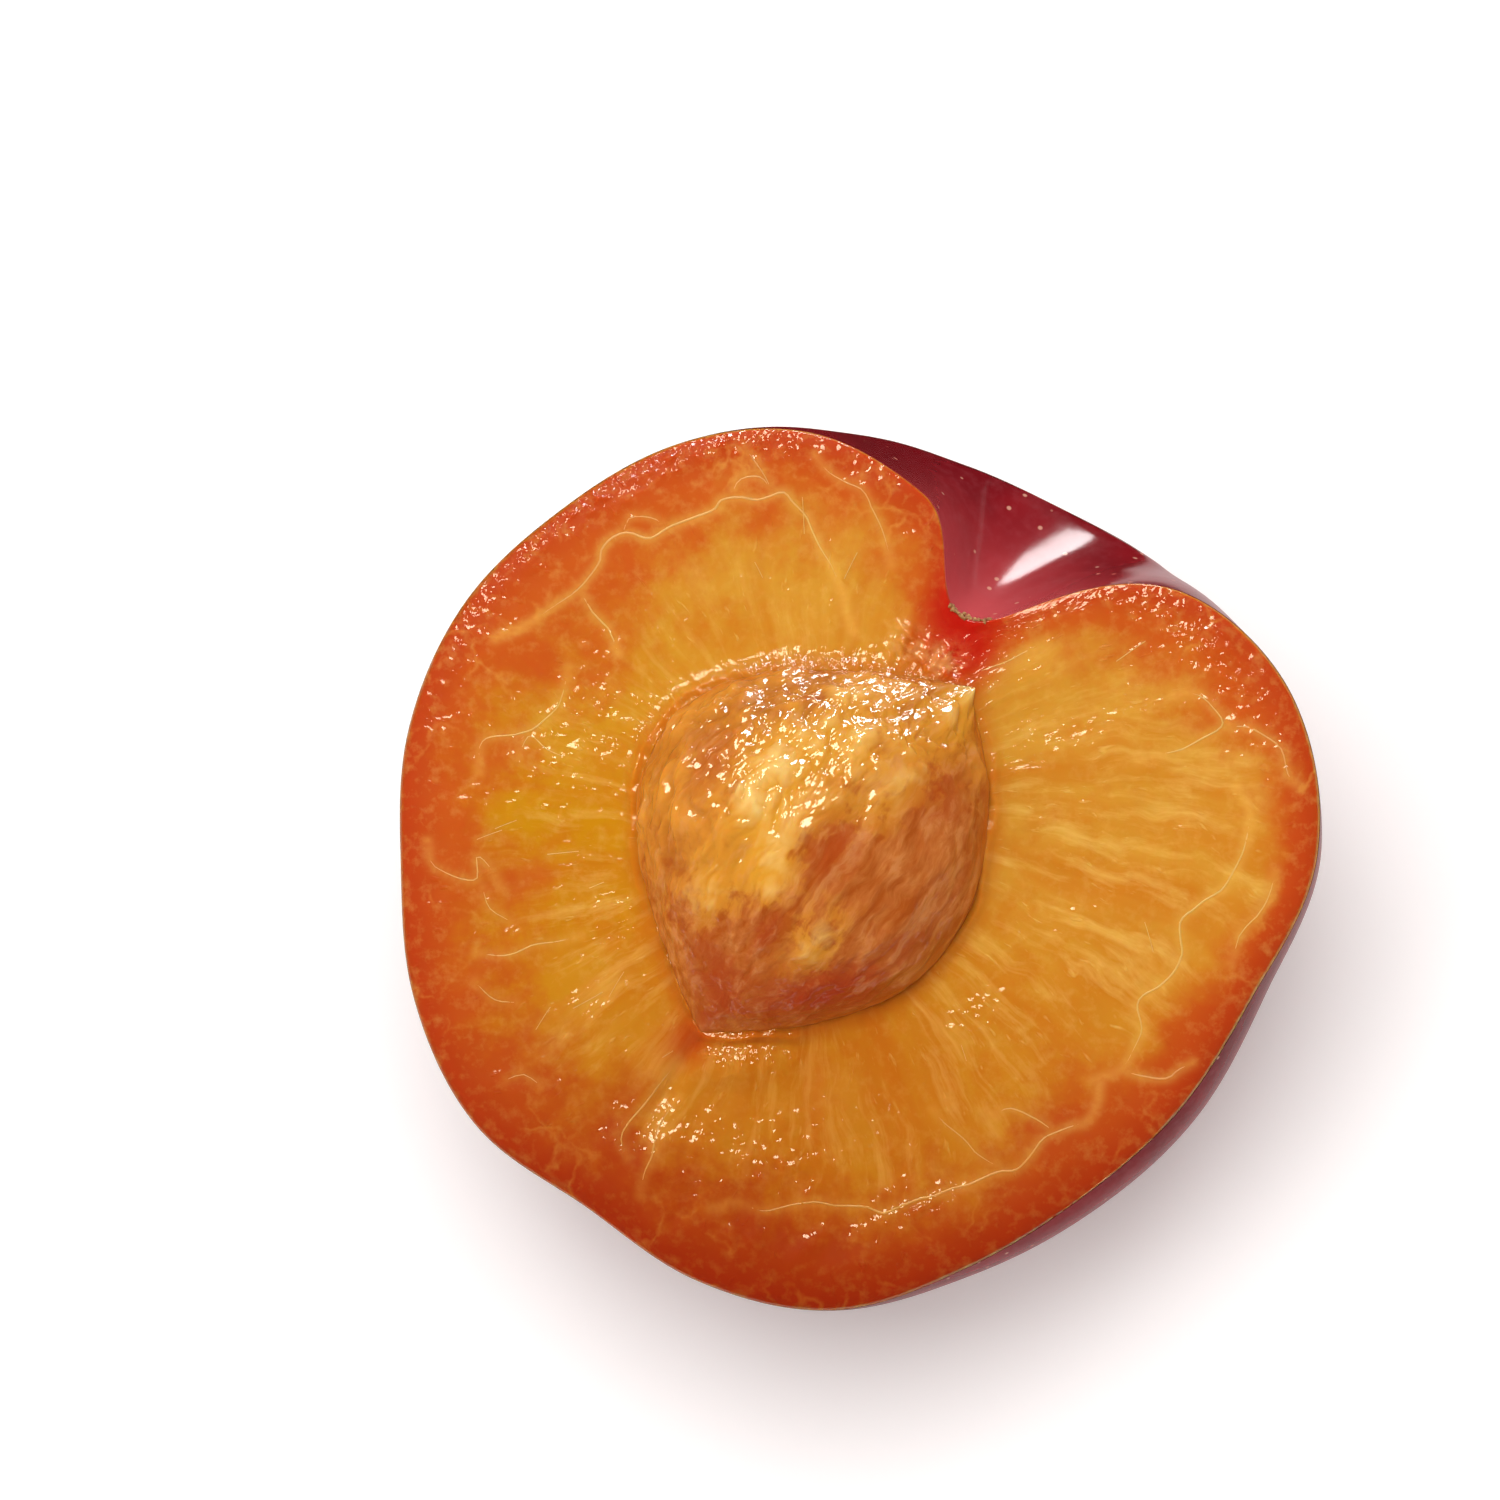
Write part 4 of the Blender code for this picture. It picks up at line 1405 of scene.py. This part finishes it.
@dataclass
class Studio:
    """A white board, soft lights and the camera."""

    pose: Matrix
    distance: float = 0.5
    field_width: float = 91.4 * MM
    aim: tuple = (-4.57 * MM, 6.83 * MM)  # where the camera looks, across and up the tilted face
    sideways: float = math.radians(8)
    upwards: float = math.radians(2)
    sensor: float = 36.0
    wall: str = "ffe6e2"
    cloth: str = "500c10"

    def build(self, form: FruitForm) -> None:
        """Makes the floor, lights, world and camera."""
        self.add_floor()
        self.add_card("mat", "dccaca", (260 * MM, 260 * MM), (0, 0, 0.5 * MM))
        self.add_card("cloth", self.cloth, (150 * MM, 80 * MM), (-15 * MM, 70 * MM, MM))
        self.add_world()
        self.add_light("overhead", (0.02, 0.24, 0.88), 0.7, 8.3, glossy=False)
        self.add_light("fill", (-0.75, -0.35, 0.45), 0.6, 2.6, glossy=False)
        self.add_light("glints", (-0.28, 0.36, 0.76), 0.36, 9.5, diffuse=False, tint="ffeecc")
        self.add_light("window", (0.09, 0.97, 0.22), 0.34, 12.0, diffuse=False)
        self.add_camera(form)

    def add_floor(self) -> None:
        """A board under the plum, large enough to fill every view."""
        shape = bmesh.new()
        bmesh.ops.create_grid(shape, x_segments=1, y_segments=1, size=3)
        floor = bpy.data.objects.new("floor", mesh_from(shape, "floor"))
        bpy.context.scene.collection.objects.link(floor)
        floor.data.materials.append(FloorFinish(glow=0.2).build())
        floor.visible_glossy = False

    def add_card(self, name: str, colour: str, size: tuple, place: tuple) -> None:
        """A card on the board that only the plum's shine sees, so that its skin mirrors a dark patch.

        Args:
            name: Its name.
            colour: Its colour.
            size: Its length and width.
            place: Its middle.
        """
        shape = bmesh.new()
        bmesh.ops.create_grid(shape, x_segments=1, y_segments=1, size=0.5)
        bmesh.ops.scale(shape, verts=shape.verts, vec=(*size, 1))
        bmesh.ops.translate(shape, verts=shape.verts, vec=place)
        card = bpy.data.objects.new(name, mesh_from(shape, name))
        bpy.context.scene.collection.objects.link(card)
        card.data.materials.append(FloorFinish(colour, f"{name}_card").build())
        card.visible_camera = card.visible_diffuse = card.visible_shadow = False

    def add_world(self) -> None:
        """Warm white walls that fade into a dim ceiling; what shines mirrors them darker."""
        world = bpy.data.worlds.new("studio")
        world.use_nodes = True
        tree = world.node_tree
        tree.nodes.clear()
        way = node(tree, "ShaderNodeTexCoord", out="Generated")
        rise = node(tree, "ShaderNodeSeparateXYZ", {"Vector": way}, out="Z")
        level = node(tree, "ShaderNodeMapRange", {
            "Value": rise, "From Min": 0.0, "From Max": 0.75, "To Min": 0.62, "To Max": 0.12,
        }, interpolation_type="SMOOTHSTEP")
        light = node(tree, "ShaderNodeBackground", {"Color": linear(self.wall), "Strength": level})
        dim = node(tree, "ShaderNodeBackground", {"Color": linear(self.wall), "Strength": 0.05})
        seen = node(tree, "ShaderNodeBackground", {"Color": (1, 1, 1, 1), "Strength": 1.0})
        mirror = node(tree, "ShaderNodeLightPath", out="Is Glossy Ray")
        eye = node(tree, "ShaderNodeLightPath", out="Is Camera Ray")
        both = node(tree, "ShaderNodeMixShader", {0: mirror, 1: light, 2: dim})
        both = node(tree, "ShaderNodeMixShader", {0: eye, 1: both, 2: seen})
        node(tree, "ShaderNodeOutputWorld", {"Surface": both})
        bpy.context.scene.world = world
        bpy.context.scene.view_settings.view_transform = "Standard"

    def add_light(self, name: str, place: tuple, size: float, power: float,
                  glossy: bool = True, diffuse: bool = True, tint: str = "ffffff") -> None:
        """A square soft light that points at the plum.

        Args:
            name: Its name.
            place: Where it stands.
            size: Its side.
            power: In watts.
            glossy: Whether wet surfaces mirror it.
            diffuse: Whether it lights matt surfaces.
            tint: Its colour.
        """
        light = bpy.data.lights.new(name, "AREA")
        light.size, light.energy, light.color = size, power, linear(tint)[:3]
        made = bpy.data.objects.new(name, light)
        bpy.context.scene.collection.objects.link(made)
        aim = Vector((0, 0, 20 * MM)) - Vector(place)
        made.matrix_world = Matrix.Translation(place) @ aim.to_track_quat("-Z", "Y").to_matrix().to_4x4()
        made.visible_glossy, made.visible_diffuse = glossy, diffuse

    def add_camera(self, form: FruitForm) -> None:
        """Sets the camera just off the face's own axis, with the table's far side up."""
        right = Vector((1, 0, 0))
        up = Vector((0, math.cos(form.face_tilt), math.sin(form.face_tilt)))
        out = Vector((0, -math.sin(form.face_tilt), math.cos(form.face_tilt)))
        target = self.pose @ Vector((0, 0, 0)) + right * self.aim[0] + up * self.aim[1]
        back = (out + right * math.tan(self.sideways) + up * math.tan(self.upwards)).normalized()
        across = up.cross(back).normalized()
        turned = Matrix((across, back.cross(across), back)).transposed().to_4x4()
        camera = bpy.data.cameras.new("camera")
        camera.sensor_width = self.sensor
        camera.lens = self.sensor * self.distance / self.field_width
        camera.clip_start = 10 * MM
        made = bpy.data.objects.new("camera", camera)
        bpy.context.scene.collection.objects.link(made)
        made.matrix_world = Matrix.Translation(target + back * self.distance) @ turned
        bpy.context.scene.camera = made


def write_sizes() -> None:
    """Brings the scene's matrices up to date."""
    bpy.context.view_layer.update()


def main() -> None:
    """Builds the plum and the studio round it."""
    logging.basicConfig(level=logging.INFO, format="%(name)s: %(message)s")
    form, stone_form = FruitForm(), StoneForm()
    pose = form.resting()
    face = CutFace(form, stone_form)
    veins = Veins(face, pose)
    veins.grow()
    Flesh(form, face, pose).build(FleshFinish().build(), veins)
    veins.build(VeinFinish().build())
    Skin(form, pose).build(SkinFinish().build())
    Stone(stone_form, pose).build(StoneFinish().build())
    Scar(form, pose).build(ScarFinish().build())
    Studio(pose).build(form)
    write_sizes()


if __name__ == "__main__":
    main()
